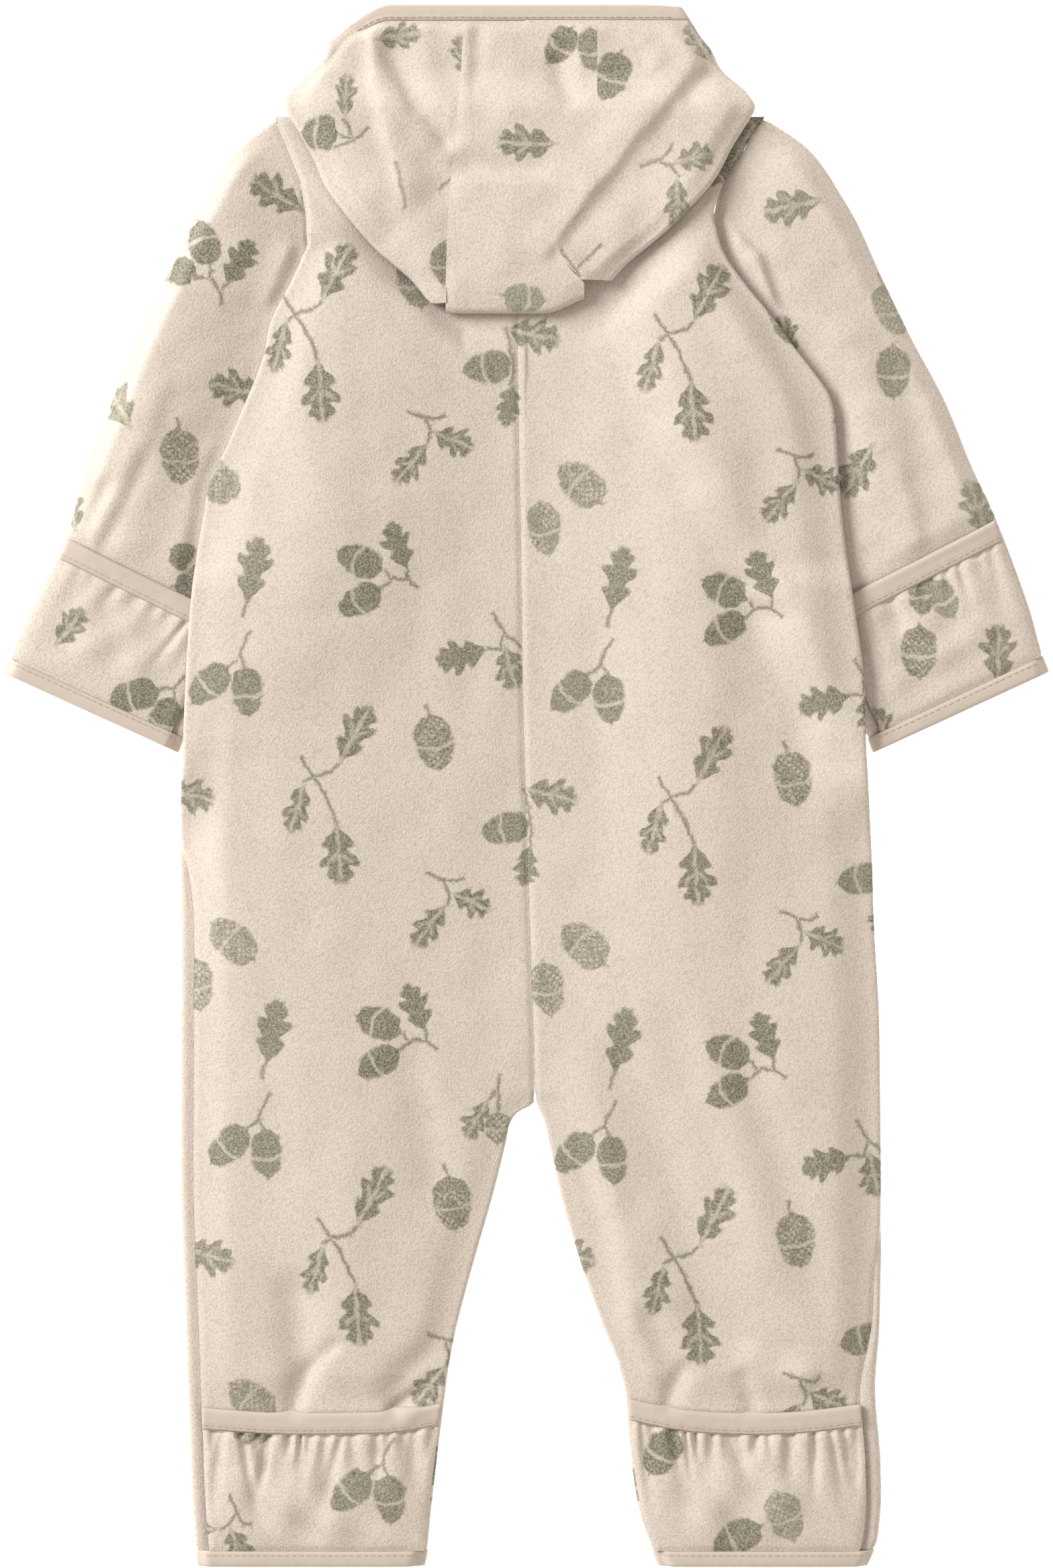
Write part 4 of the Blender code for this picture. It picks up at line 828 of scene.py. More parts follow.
def face_edge(a, row):
    """The hood's surface near its face edge, all in one. a is the distance along the edge
    from the left seam: back round the left panel where it is negative, over the centre
    strip, and round the right panel beyond it."""
    left = hood_side("left", hood_over("left", row) + np.minimum(a, 0), row)
    right = hood_side("right", hood_over("right", row) - np.maximum(a - STRIP, 0), row)
    x = strip_across(row, np.clip(a / STRIP, 0, 1))
    z = hood_base(row) + 2 * HOOD_ROLL
    z = z + hood_relief(x, row) * ease((FACE + 3 - row) / 9)
    middle = np.stack(np.broadcast_arrays(x, row, z), -1)
    return np.where(a[..., None] < 0, left, np.where(a[..., None] > STRIP, right, middle))


# --- walls of cloth ---

def grid_normals(points, closed, core):
    """Unit normals of a grid, from its slopes along rows and columns, turned to face
    away from the point core."""
    if closed:
        over = np.roll(points, -1, 1) - np.roll(points, 1, 1)
    else:
        over = np.gradient(points, axis=1)
    normal = np.cross(over, np.gradient(points, axis=0))
    normal /= np.maximum(np.linalg.norm(normal, axis=-1, keepdims=True), 1e-9)
    return normal * np.sign(np.sum(normal * (points - core)))


def middle_of(grid, core):
    """The point that a grid faces away from: its own middle, or core over that."""
    return grid.mean((0, 1)) + np.array([0, 0, core or 0])


def edge_distance(points, closed):
    """Distance of each point from the nearest edge of its grid, along the cloth."""
    nearest = np.full(points.shape[:2], ENDLESS)
    for axis in (0,) if closed else (0, 1):
        step = np.linalg.norm(np.diff(points, axis=axis), axis=-1)
        start = np.concatenate([0 * step.take([0], axis), np.cumsum(step, axis)], axis)
        nearest = np.minimum(nearest, np.minimum(start, start.take([-1], axis) - start))
    return nearest


def wall_faces(rows, columns, closed, keep):
    """Quads of a wall: the outer grid, the inner grid behind it, and a rim wherever a
    kept cell has no kept neighbour. closed joins the last column to the first."""
    width = columns if closed else columns - 1
    row, column = np.nonzero(keep[:, :width])
    beyond = (column + 1) % columns
    low, high = row * columns, (row + 1) * columns
    corner = np.stack([low + column, low + beyond, high + beyond, high + column], -1)
    inner = rows * columns
    faces = [corner, corner[:, ::-1] + inner]
    padded = np.zeros((rows + 1, width + 2), bool)
    padded[1:-1, 1:-1] = keep[:, :width]
    if closed:
        padded[:, 0], padded[:, -1] = padded[:, -2], padded[:, 1]
    steps = (((-1, 0), (0, 1)), ((0, 1), (1, 2)), ((1, 0), (2, 3)), ((0, -1), (3, 0)))
    for (up, over), (first, second) in steps:
        edge = ~padded[row + 1 + up, column + 1 + over]
        p, q = corner[edge, first], corner[edge, second]
        faces.append(np.stack([q, p, p + inner, q + inner], -1))
    return np.concatenate(faces)


def signed_volume(points, faces):
    """Volume inside quads that face outwards, negative where they face inwards."""
    a, b, c, d = (points[faces[:, k]] for k in range(4))
    return np.sum(np.cross(a, b) * c + np.cross(a, c) * d) / 6


def add_mesh(name, points, faces, finish):
    """A mesh object of millimetre points and quads, in the row's frame, with a
    material and with its faces outwards."""
    if signed_volume(points - points.mean(0), faces) < 0:
        faces = faces[:, ::-1]
    mesh = bpy.data.meshes.new(name)
    mesh.vertices.add(len(points))
    centred = (points - np.array([0, LENGTH / 2, 0])) * MM
    mesh.vertices.foreach_set("co", centred.astype(np.float32).ravel())
    mesh.loops.add(faces.size)
    mesh.loops.foreach_set("vertex_index", faces.astype(np.int32).ravel())
    mesh.polygons.add(len(faces))
    mesh.polygons.foreach_set("loop_start", np.arange(0, faces.size, 4, dtype=np.int32))
    mesh.polygons.foreach_set("use_smooth", np.ones(len(faces), bool))
    mesh.update(calc_edges=True)
    if mesh.validate():
        raise RuntimeError(name + " has faces that make no sense")
    mesh.materials.append(finish)
    obj = bpy.data.objects.new(name, mesh)
    bpy.context.scene.collection.objects.link(obj)
    return obj, faces


def cloth_size(points, closed):
    """Width, length and area in metres of a grid laid flat: its longest row and column,
    and the sum of its cells."""
    if closed:
        points = np.concatenate([points, points[:, :1]], axis=1)
    row = np.linalg.norm(np.diff(points, axis=1), axis=-1).sum(1).max()
    column = np.linalg.norm(np.diff(points, axis=0), axis=-1).sum(0).max()
    one, other = points[1:, 1:] - points[:-1, :-1], points[1:, :-1] - points[:-1, 1:]
    area = 0.5 * np.linalg.norm(np.cross(one, other), axis=-1).sum()
    return row * MM, column * MM, area * MM * MM


def wall(name, base, kind="fleece", thick=FLEECE, dip=None, keep=None, closed=False,
         core=None, outside=0.0, print_at=None, motifs=()):
    """A piece of cloth on the grid base: its face sinks at seams, and its back lies
    thick behind it. It stands for the frame's node of the same name."""
    normal = grid_normals(base, closed, middle_of(base, core))
    face = base + normal * np.broadcast_to(outside, base.shape[:2])[..., None]
    depth, width = dip or (bpy.context.scene.pramsuit_cloth.seam_dip, 1.6)
    sink = depth * np.exp(-(edge_distance(base, closed) / width) ** 2)
    outer = face - normal * sink[..., None]
    inner = face - normal * np.broadcast_to(thick, base.shape[:2])[..., None]
    rows, columns = base.shape[:2]
    keep = np.ones((rows - 1, columns), bool) if keep is None else keep
    faces = wall_faces(rows, columns, closed, keep)
    points = np.concatenate([outer.reshape(-1, 3), inner.reshape(-1, 3)])
    used, faces = np.unique(faces, return_inverse=True)
    obj, faces = add_mesh(name + "_cloth", points[used], faces.reshape(-1, 4), material(kind))
    if kind == "fleece":    # panels meet level at seams, with no shading down their rims
        obj.data.set_sharp_from_angle(angle=radians(60))
        behind = (used >= rows * columns)[faces]
        places = np.concatenate([print_at.reshape(-1, 2)] * 2)[used]
        stamp(obj.data, places[faces], ~behind.all(1), motifs)
    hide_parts(name)
    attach(obj, "root")
    obj["cloth"] = cloth_size(face, closed)
    return obj


# --- the print ---

def outline(points, t):
    """Half width at t along a motif's middle line, from its table of points."""
    return np.interp(t, *np.array(points).T)


def ink_depth(kind, way, off, run, half):
    """How far a point lies inside a motif's edge, in mm, and below 0 outside it."""
    t, wide = way / run, np.abs(off)
    if kind == LEAF:
        share = outline(LEAF_OUTLINE, t - LOBE_SWEEP * wide / half)
    elif kind == ACORN:
        share = outline(ACORN_OUTLINE, t)
    else:
        share = 1.0
    return np.minimum(half * share - wide, np.minimum(way, run - way) + INK_BEYOND)


def motif_parts(motifs):
    """Each motif's parts at its place: kind, ends, half width, style and lightness."""
    for group, x, y, turn, tone in motifs:
        c, s = cos(radians(turn)), sin(radians(turn))
        for kind, x0, y0, x1, y1, half, style in zip(*MOTIFS[group].values()):
            yield (int(kind), x + c * x0 - s * y0, y + s * x0 + c * y0,
                   x + c * x1 - s * y1, y + s * x1 + c * y1, half, style, tone)


def stamp(mesh, corners, shown, motifs):
    """Gives each face the motif part that covers it: where its corners lie along and
    across that part, and the part's kind, size and lightness. The material draws the
    outline from these, so that it is sharp however large the faces are."""
    count = len(corners)
    middle = corners.mean(1)
    best = np.full(count, -MOTIF_EDGE)
    spot, size = np.full((count, 4, 3), NOWHERE), np.ones((count, 4, 3))
    spot[..., 0], spot[..., 2] = -NOWHERE, STEM
    tones = np.zeros(count)
    for kind, x0, y0, x1, y1, half, style, tone in motif_parts(motifs):
        run = np.hypot(x1 - x0, y1 - y0)
        ax, ay = (x1 - x0) / run, (y1 - y0) / run
        off_middle = np.abs(middle - np.array([x0 + x1, y0 + y1]) / 2).max(1)
        near = np.nonzero((off_middle < run / 2 + half + MOTIF_EDGE) & shown)[0]

        def local(place):
            dx, dy = place[..., 0] - x0, place[..., 1] - y0
            return dx * ax + dy * ay, dx * ay - dy * ax
        depth = ink_depth(kind, *local(middle[near]), run, half)
        won = near[depth > best[near]]
        best[won] = depth[depth > best[near]]
        way, off = local(corners[won])
        spot[won] = np.stack([way, off, kind + 0 * way], -1)
        size[won] = (run, half, style)
        tones[won] = tone
    for name, domain, kind, field, values in (
            ("motif", "CORNER", "FLOAT_VECTOR", "vector", spot),
            ("motif_size", "CORNER", "FLOAT_VECTOR", "vector", size),
            ("motif_tone", "FACE", "FLOAT", "value", tones)):
        layer = mesh.attributes.new(name, kind, domain)
        layer.data.foreach_set(field, values.astype(np.float32).ravel())


def repeats(side):
    """Places of the print's repeats over one half of the back."""
    found = []
    for n in range(-2, 3):
        for group, x, y, tone in REPEAT:
            up = y - REPEAT_UP * n
            if side == "left" and (n != 1 or group not in "FB") or group == "I":
                found.append((group, x + LEFT_DRIFT * n, up, 0, tone))
            if side == "left":
                found.append((group, x - REPEAT_ACROSS + LEFT_DRIFT * n, up, 0, tone))
            else:
                lean = RIGHT_LEAN * (LEAN_FROM - y)
                up = y - RIGHT_DROP - RIGHT_SHEAR * (x + SHEAR_FROM) - REPEAT_UP * n
                found.append((group, x + REPEAT_ACROSS - lean + RIGHT_DRIFT * n, up, 0, tone))
    return found + list(LEG_PRINT if side == "left" else (ARMHOLE_LEAF,))


def tiled(shift_x, shift_y):
    """Places of the print's repeats over a whole piece that isn't seen from above."""
    return [(group, x + shift_x + REPEAT_ACROSS * across, y + shift_y + REPEAT_UP * up, 0, tone)
            for across in range(-1, 3) for up in range(-2, 3)
            for group, x, y, tone in REPEAT]


# --- materials ---

def add(tree, kind, *values, named=None, **settings):
    """Adds a node of any kind. values go to its inputs in order and named ones to the
    inputs of those names; each is a number, a colour, a socket or another node."""
    made = tree.nodes.new("ShaderNode" + kind)
    for name, value in settings.items():
        setattr(made, name, value)
    pairs = list(enumerate(values)) + list((named or {}).items())
    for key, value in pairs:
        if isinstance(value, bpy.types.Node):
            value = value.outputs[0]
        if isinstance(value, bpy.types.NodeSocket):
            tree.links.new(value, made.inputs[key])
        elif value is not None:
            made.inputs[key].default_value = value
    return made


def new_material(name, colour, roughness):
    """A material and its tree and shader, with its colour and roughness set."""
    made = bpy.data.materials.new(name)
    made.use_nodes = True
    tree = made.node_tree
    shader = tree.nodes["Principled BSDF"]
    shader.inputs["Base Color"].default_value = (*colour, 1)
    shader.inputs["Roughness"].default_value = roughness
    return made, tree, shader


def curve(tree, points, value):
    """A curve node through the points of an outline, level beyond its ends."""
    made = add(tree, "FloatCurve", 1.0, value)
    line = made.mapping.curves[0]
    for place in points[1:-1]:
        line.points.new(*place)
    line.points[0].location = points[0]
    line.points[len(points) - 1].location = points[-1]
    made.mapping.extend = "HORIZONTAL"
    made.mapping.update()
    return made


def math(tree, operation, *values):
    """A sum or other function of one to three numbers."""
    return add(tree, "Math", *values, operation=operation)


def fade(tree, value, start, stop, low=0.0, high=1.0):
    """Smooth step of a value: low before start and high beyond stop."""
    return add(tree, "MapRange", value, start, stop, low, high, interpolation_type="SMOOTHSTEP")


def noise(tree, place, scale, detail):
    """Noise with so many features to the metre."""
    return add(tree, "TexNoise", named={"Vector": place, "Scale": scale, "Detail": detail})


def blend(tree, factor, first, second, way="MIX"):
    """The colour output of two colours mixed, or multiplied."""
    made = add(tree, "Mix", factor, data_type="RGBA", blend_type=way)
    for socket, colour in zip((made.inputs[6], made.inputs[7]), (first, second)):
        if isinstance(colour, bpy.types.NodeSocket):
            tree.links.new(colour, socket)
        else:
            socket.default_value = (*colour, 1)
    return made.outputs[2]


def roughen(tree, shader, height, strength, distance):
    """Turns a height into small bumps on a material."""
    bump = add(tree, "Bump",
               named={"Height": height, "Strength": strength, "Distance": distance})
    tree.links.new(bump.outputs[0], shader.inputs["Normal"])


def times(tree, one, other):
    """The product of two numbers."""
    return math(tree, "MULTIPLY", one, other)


def scaled(tree, value, factor, more):
    """A number times a factor, with more added to it."""
    return math(tree, "MULTIPLY_ADD", value, factor, more)


def leaf_veins(tree, wide, share, t, gaps):
    """Veins of a leaf, 0 to 1: its midrib, and side veins that lean towards the tip.
    gaps is the noise that breaks them up."""
    rib = fade(tree, wide, 0.2, 1.5, 1.0, 0.0)
    lean = times(tree, scaled(tree, share, -0.30, t), 4.2)
    side = fade(tree, math(tree, "PINGPONG", lean, 1.0), 0.03, 0.34, 1.0, 0.0)
    side = times(tree, side, fade(tree, share, 0.4, 0.8, 0.85, 0.0))
    veins = math(tree, "MAXIMUM", rib, side)
    return times(tree, veins, fade(tree, gaps, 0.3, 0.6, 0.5, 1.0))


def acorn_ring(tree, share, t, run):
    """The pale ring between an acorn's cup and its nut, 0 to 1."""
    ring = scaled(tree, times(tree, share, share), 0.07, t)
    ring = math(tree, "ABSOLUTE", math(tree, "SUBTRACT", ring, 0.62))
    return fade(tree, times(tree, ring, run), 0.2, 1.3, 1.0, 0.0)


def acorn_scales(tree, tufts, way, off, gaps):
    """Scales of a patterned acorn's cup, 0 to 1: a lattice that fades in and out."""
    shifted = scaled(tree, tufts, 2.4, way)
    one = math(tree, "PINGPONG", math(tree, "ADD", shifted, off), 1.6)
    other = math(tree, "PINGPONG", math(tree, "SUBTRACT", shifted, off), 1.6)
    scales = fade(tree, math(tree, "MINIMUM", one, other), 0.1, 1.1)
    return times(tree, scales, fade(tree, gaps, 0.36, 0.62, 0.1, 1.0))


def ink_on_fleece(tree, place, tufts, fuzz):
    """How much ink lies at a point, 0 to 1, and the lightness of its colour. Each face
    carries its part of the print, and the outline is drawn from that. The nap was brushed
    after printing, which pulls every line a little out of true."""
    attribute = [add(tree, "Attribute", attribute_name=name)
                 for name in ("motif", "motif_size", "motif_tone")]
    way, off, kind = add(tree, "SeparateXYZ", attribute[0].outputs["Vector"]).outputs
    run, half, style = add(tree, "SeparateXYZ", attribute[1].outputs["Vector"]).outputs
    pull = add(tree, "SeparateColor", noise(tree, place, 210.0, 1.0).outputs["Color"]).outputs
    way = math(tree, "ADD", way, scaled(tree, pull[0], 3.0, -1.5))
    off = math(tree, "ADD", off, scaled(tree, pull[1], 3.0, -1.5))
    t = math(tree, "DIVIDE", way, run)
    wide = math(tree, "ABSOLUTE", off)
    share = math(tree, "DIVIDE", wide, half)
    is_leaf = math(tree, "LESS_THAN", kind, 0.5)
    is_stem = math(tree, "GREATER_THAN", kind, 1.5)
    is_acorn = math(tree, "SUBTRACT", 1.0, math(tree, "ADD", is_leaf, is_stem))
    leaf = times(tree, curve(tree, LEAF_OUTLINE, scaled(tree, share, -LOBE_SWEEP, t)), is_leaf)
    acorn = times(tree, curve(tree, ACORN_OUTLINE, t), is_acorn)
    shape = math(tree, "ADD", math(tree, "ADD", leaf, acorn), is_stem)
    inside = math(tree, "SUBTRACT", times(tree, half, shape), wide)
    ends = math(tree, "MINIMUM", way, math(tree, "SUBTRACT", run, way))
    inside = math(tree, "MINIMUM", inside, math(tree, "ADD", ends, INK_BEYOND))
    inside = math(tree, "ADD", inside, scaled(tree, tufts, 3.4, -1.7))
    ink = fade(tree, inside, -fuzz / 2, fuzz / 2)

    veins = times(tree, leaf_veins(tree, wide, share, t, pull[2]), times(tree, style, is_leaf))
    ring = times(tree, acorn_ring(tree, share, t, run), is_acorn)
    patterned = times(tree, is_acorn, math(tree, "GREATER_THAN", style, 1.5))
    scales = times(tree, acorn_scales(tree, tufts, way, off, pull[2]), patterned)
    pale = math(tree, "MAXIMUM", math(tree, "MAXIMUM", veins, ring), scales)
    ink = times(tree, ink, scaled(tree, pale, -0.6, 1.0))
    # Ink takes unevenly on the tufts.
    ink = times(tree, ink, fade(tree, tufts, 0.3, 0.7, 1.0, 0.62))
    return ink, attribute[2].outputs["Fac"]


def fleece():
    """Brushed polyester fleece, printed with leaves and acorns in sage ink."""
    scene = bpy.context.scene
    colours, inks = scene.pramsuit_colours, scene.pramsuit_print
    made, tree, shader = new_material("brushed polyester fleece", colours.fleece, 0.95)
    place = add(tree, "TexCoord").outputs["Object"]
    tufts = noise(tree, place, 1250.0, 1.0).outputs[0]
    ink, tone = ink_on_fleece(tree, place, tufts, inks.fuzz)

    # Broad warm and cool unevenness, as in any dyed and brushed cloth.
    warm = blend(tree, noise(tree, place, 16.0, 2.0).outputs[0],
                 (0.975, 0.985, 0.99), (1.0, 0.99, 0.975))
    ground = blend(tree, 1.0, colours.fleece, warm, "MULTIPLY")
    printed = blend(tree, ink, ground, blend(tree, tone, inks.dark, inks.light))

    # The nap: tufts of about 1.2 mm, with painted shade where one meets the next
    # and a painted highlight on each top, more so where it is printed.
    tuft = add(tree, "TexVoronoi", named={"Vector": place, "Scale": 820.0})
    depth = scaled(tree, tufts, 0.9, math(tree, "SUBTRACT", 0.6, tuft.outputs[0]))
    nap_painted_shade = add(tree, "MapRange", depth, 0.1, 0.8, 0.85, 1.035)
    nap_painted_shade = times(tree, nap_painted_shade, scaled(tree, times(tree, ink, depth), 0.14, 0.93))
    nap_painted_shade_colour = add(tree, "CombineColor", nap_painted_shade, nap_painted_shade, nap_painted_shade).outputs[0]
    # The painted nap shade and highlight multiply the printed colour.
    tree.links.new(blend(tree, 1.0, printed, nap_painted_shade_colour, "MULTIPLY"), shader.inputs["Base Color"])
    roughen(tree, shader, tufts, 0.5, 0.0006)
    shader.inputs["Specular IOR Level"].default_value = 0.1
    # Light caught by loose fibres, seen where the cloth turns away.
    shader.inputs["Sheen Weight"].default_value = 0.1
    shader.inputs["Sheen Roughness"].default_value = 0.6
    return made


def binding():
    """Smooth cotton jersey, folded over the edge: a fine grain and a soft evenness."""
    made, tree, shader = new_material(
        "cotton jersey binding", bpy.context.scene.pramsuit_colours.binding, 0.85)
    place = add(tree, "TexCoord").outputs["Object"]
    grain = noise(tree, place, 1500.0, 2.0)
    slack = noise(tree, place, 180.0, 1.0)
    roughen(tree, shader, scaled(tree, slack, 2.0, grain), 0.35, 0.0003)
    shader.inputs["Specular IOR Level"].default_value = 0.2
    shader.inputs["Sheen Weight"].default_value = 0.08
    return made


def zip_tape():
    """Woven polyester tape: fine ribs across it, a little glossier than the cloth."""
    made, tree, shader = new_material(
        "woven polyester tape", bpy.context.scene.pramsuit_colours.zip, 0.7)
    place = add(tree, "TexCoord").outputs["Object"]
    ribs = add(tree, "TexWave", bands_direction="Y",
               named={"Vector": place, "Scale": 380.0, "Distortion": 0.3})
    roughen(tree, shader, ribs.outputs[1], 0.4, 0.0002)
    return made


def zip_moulding():
    """Moulded acetal of the zip's teeth and slider: smooth, with a satin gleam."""
    made, _, shader = new_material(
        "moulded acetal", bpy.context.scene.pramsuit_colours.zip, 0.38)
    shader.inputs["Specular IOR Level"].default_value = 0.5
    return made


def thread():
    """Spun polyester sewing thread: a faint gleam on each stitch."""
    return new_material(
        "polyester sewing thread", bpy.context.scene.pramsuit_colours.thread, 0.6)[0]


def white_board():
    """The white ground that the suit is photographed on, with a glow of its own so that
    it stays white round the suit."""
    made, _, shader = new_material("white ground", srgb("#FFFFFF"), 0.9)
    shader.inputs["Emission Color"].default_value = (1, 1, 1, 1)
    shader.inputs["Emission Strength"].default_value = 1.1
    shader.inputs["Specular IOR Level"].default_value = 0.0
    return made


MATERIALS = {"fleece": fleece, "binding": binding, "zip tape": zip_tape,
             "zip moulding": zip_moulding, "thread": thread, "ground": white_board}
made_materials = {}


def material(kind):
    """The material of that kind, made the first time that it is asked for."""
    if kind not in made_materials:
        made_materials[kind] = MATERIALS[kind]()
    return made_materials[kind]


# --- the pieces ---

BODY_ROWS = stretches((HEM, HEM + 4, 5), (HEM + 4, NECK - 4, 384), (NECK - 4, NECK, 5))
FRONT_ROWS = stretches((HEM, HEM + 4, 3), (HEM + 4, CROTCH - 6, 46), (CROTCH - 6, CROTCH + 16, 14),
                       (CROTCH + 16, NECK - 4, 96), (NECK - 4, NECK, 3))
EDGE_BAND = 4.0          # width of the closer columns along a panel's edges, at least


def each_row(y, c):
    """Each row's y, at every one of its columns c."""
    return np.broadcast_to(y[:, None], c.shape)


def panel(side, top):
    """Grid of a back or a front: torso and leg in one cut, with closer columns at its
    two edges."""
    y = BODY_ROWS if top else FRONT_ROWS
    start, end = body_ends(side, y, top)
    inner = body_turns(side, y)[1]
    band = np.maximum(BODY_ROLL * inner + 1.5, EDGE_BAND)
    if top:
        knots, cells = [start, start + EDGE_BAND, end - band, end], (7, 88, 8)
    else:
        beyond = np.minimum(start - EDGE_BAND, -BODY_ROLL * QUARTER - 1.0)
        knots, cells = [start, beyond, end + band, end], (14, 44, 6)
    c = columns_between(knots, cells)
    rows = each_row(y, c)
    return body(side, c, rows), body_unrolled(side, c, rows)


class PRAMSUIT_OT_backs(bpy.types.Operator):
    """Two back panels. Height over the ground is the frame's, plus a puff between the
    seams and the sum of the creases drawn in the tables."""
    bl_idname = "pramsuit.backs"
    bl_label = "Back panels"

    def execute(self, context):
        for side in SIDES:
            grid, places = panel(side, True)
            obj = wall("back_" + side, grid, core=-ENDLESS, print_at=places,
                       motifs=repeats(side))
        return {"FINISHED"}


class PRAMSUIT_OT_fronts(bpy.types.Operator):
    """Two front panels, flat on the ground and lifted where a sleeve lies under them."""
    bl_idname = "pramsuit.fronts"
    bl_label = "Front panels"

    def execute(self, context):
        for side in SIDES:
            grid, places = panel(side, False)
            obj = wall("front_" + side, grid, core=ENDLESS, print_at=places,
                       motifs=[row for row in tiled(30, 70) if abs(row[1]) < 120])
        return {"FINISHED"}


def ring(quarter, flat, over, under, turn=4):
    """Columns once round a flattened tube: over the top, round its inner edge, back
    underneath and round its outer edge."""
    def half(cells):
        return np.concatenate([quarter * np.arange(1, turn) / turn,
                               quarter + flat * np.linspace(0, 1, cells + 1),
                               quarter + flat + quarter * np.arange(1, turn) / turn])
    return np.concatenate([[0], half(over), [2 * quarter + flat], -half(under)[::-1]])


def tube(roll, flats, over, under):
    """Columns once round a flattened tube, for each width of its flat."""
    return np.array([ring(roll * QUARTER, flat, over, under) for flat in flats])


def sleeve_flats(side, way):
    """Width of the flat of the sleeve between its two turned edges."""
    return sleeve_width(side, way)[0] - 2 * SLEEVE_ROLL


def sleeve_grid(side, way, over=60, under=26):
    """Columns round a sleeve at each distance up from its cuff, and the rows."""
    c = tube(SLEEVE_ROLL, sleeve_flats(side, way), over, under)
    return c, each_row(way, c)


class PRAMSUIT_OT_sleeves(bpy.types.Operator):
    """Two sleeves: tubes pressed flat, whose top layer puffs up clear of the body, from
    the cuff to the armhole, with a binding round the cuff."""
    bl_idname = "pramsuit.sleeves"
    bl_label = "Sleeves"

    def execute(self, context):
        for side in SIDES:
            way = stretches((HEM, HEM + 4, 4), (HEM + 4, 242, 130), (242, 246, 5))
            c, rows = sleeve_grid(side, way)
            motifs = SLEEVE_PRINT[side]
            obj = wall("sleeve_" + side, sleeve(side, c, rows), closed=True,
                       print_at=sleeve_unrolled(side, c, rows), motifs=motifs)
            cuff = round_binding("cuff_binding_" + side, *cuff_grid(side))
        return {"FINISHED"}


def rounded(across, high, edge=0.45):
    """Height of a folded binding across its width, 0 to 1: rounded at its two edges,
    and drawn down along its stitches."""
    return high - edge * (2 * across - 1) ** 6 - 0.3 * np.exp(-((across - 0.8) / 0.07) ** 2)


def bound(roll, c, flats, across):
    """How far a binding round a tube stands off it: rounded over the top, and down to
    nothing at the edges and underneath."""
    over = ease((c - roll * QUARTER + 1) / 4) * ease((flats[:, None] + 4 - c) / 4)
    return over * rounded(across, BINDING)[:, None]


def cuff_grid(side):
    """Grid of a cuff's binding, and how far it stands off the sleeve."""
    across = np.linspace(0, 1, 9)
    way = across * (HEM - SEAM)
    c, rows = sleeve_grid(side, way, 50, 26)
    return sleeve(side, c, rows), bound(SLEEVE_ROLL, c, sleeve_flats(side, way), across)


def hem_grid(side):
    """Grid of a leg hem's binding, and how far it stands off the leg."""
    across = np.linspace(0, 1, 9)
    y = across * (HEM - 1.5 * SEAM)
    flats = body_flat(side, y)
    c = tube(BODY_ROLL, flats, 60, 26)
    return body(side, c, each_row(y, c)), bound(BODY_ROLL, c, flats, across)


def round_binding(name, grid, outside):
    """A binding all round the end of a sleeve or a leg."""
    return wall(name, grid, "binding", outside=outside, thick=FLEECE + outside,
                dip=(0.2, 0.8), closed=True)


def foot_start(side):
    """Distance round the leg's section at which its foot flap starts."""
    seam = np.maximum(side_seam(side, np.array([40.0]))[0], BODY_ROLL * QUARTER)
    return seam + SEAM + 0.4


def gathers(part, down, count, depth, seed):
    """Folds below a gathered edge: valleys at uneven places across, each with a width, a
    depth, a lean and a length of its own, that widen and fade out downwards."""
    chance = np.random.default_rng(seed)
    total = 0
    for k in range(count):
        place, wide, deep, lean, reach = chance.uniform(
            (-0.42, 0.16, 0.3, -0.10, 0.22), (0.42, 0.44, 1.0, 0.10, 0.95))
        off = part - (k + 0.5 + place) / count - lean * down
        bell = np.exp(-(off / (wide / count * (1 + 1.3 * down / reach))) ** 2)
        total = total - depth * deep * bell * (1 - ease(down / reach))
    return total * ease(down / 0.02 + 0.35) + 0.35 * depth * (1 - ease(down / 0.3))


def foot_columns(side, y, part):
    """Distance round the leg's section at part of the way across a foot flap."""
    start = foot_start(side)
    return start + (BODY_ROLL * QUARTER + body_flat(side, y) + 0.8 - start) * part


def gathered(grid, part, down, folds, high, depth, uneven, edge=0.04):
    """How far a flap stands off what it lies on: its gap and thickness, a puff towards
    its middle, gathers below its binding and a soft unevenness. folds are how many
    gathers there are and the seed of their places, uneven the height, size and seed of
    the unevenness, and edge the share of the width over which the gathers start."""
    count, seed = folds
    rough, size, wave_seed = uneven
    puff = high * np.sin(pi * part) ** 0.6 * np.sin(pi * down) ** 0.8
    ripple = gathers(part, down, count, depth, seed)
    ripple = ripple * ease(part / edge) * ease((1 - part) / edge)
    soft = rough * waves(grid[..., 0], grid[..., 1], size, wave_seed)
    soft = soft * np.sin(pi * down) * np.sin(pi * part)
    return LAY + FLEECE + np.maximum(puff + ripple + soft, -1.2)


def foot_flap_grid(side, count=16):
    """Grid of a foot flap on the leg, and how far it stands off the leg."""
    part = np.linspace(0, 1, 8 * count + 1)[None, :]
    top = along(part, *SIDES[side]["flap"].values())
    down = stretches((0, 0.06, 5), (0.06, 0.94, 44), (0.94, 1, 4))[:, None]
    high = top - FLAP_BINDING - SEAM
    y = high + (HEM - high) * down
    c = foot_columns(side, y, part)
    grid = body(side, c, y)
    folds = (count, 5 if side == "left" else 8)
    raised = gathered(grid, part, down, folds, 2.2, 4.6, (1.5, 24, 31))
    return grid, raised, body_unrolled(side, c, y)


def free_edge(part, across, size, count, sway):
    """How far a flap's binding stands off what it lies on: rounded, with so many ripples
    that grow towards the flap. A second sine sways them, as far and as often as sway
    says, so that they aren't alike."""
    swayed = part * count * 2 * pi + sway[0] * np.sin(part * sway[1])
    return LAY + rounded(across, BINDING) + size * np.sin(swayed) * across ** 2


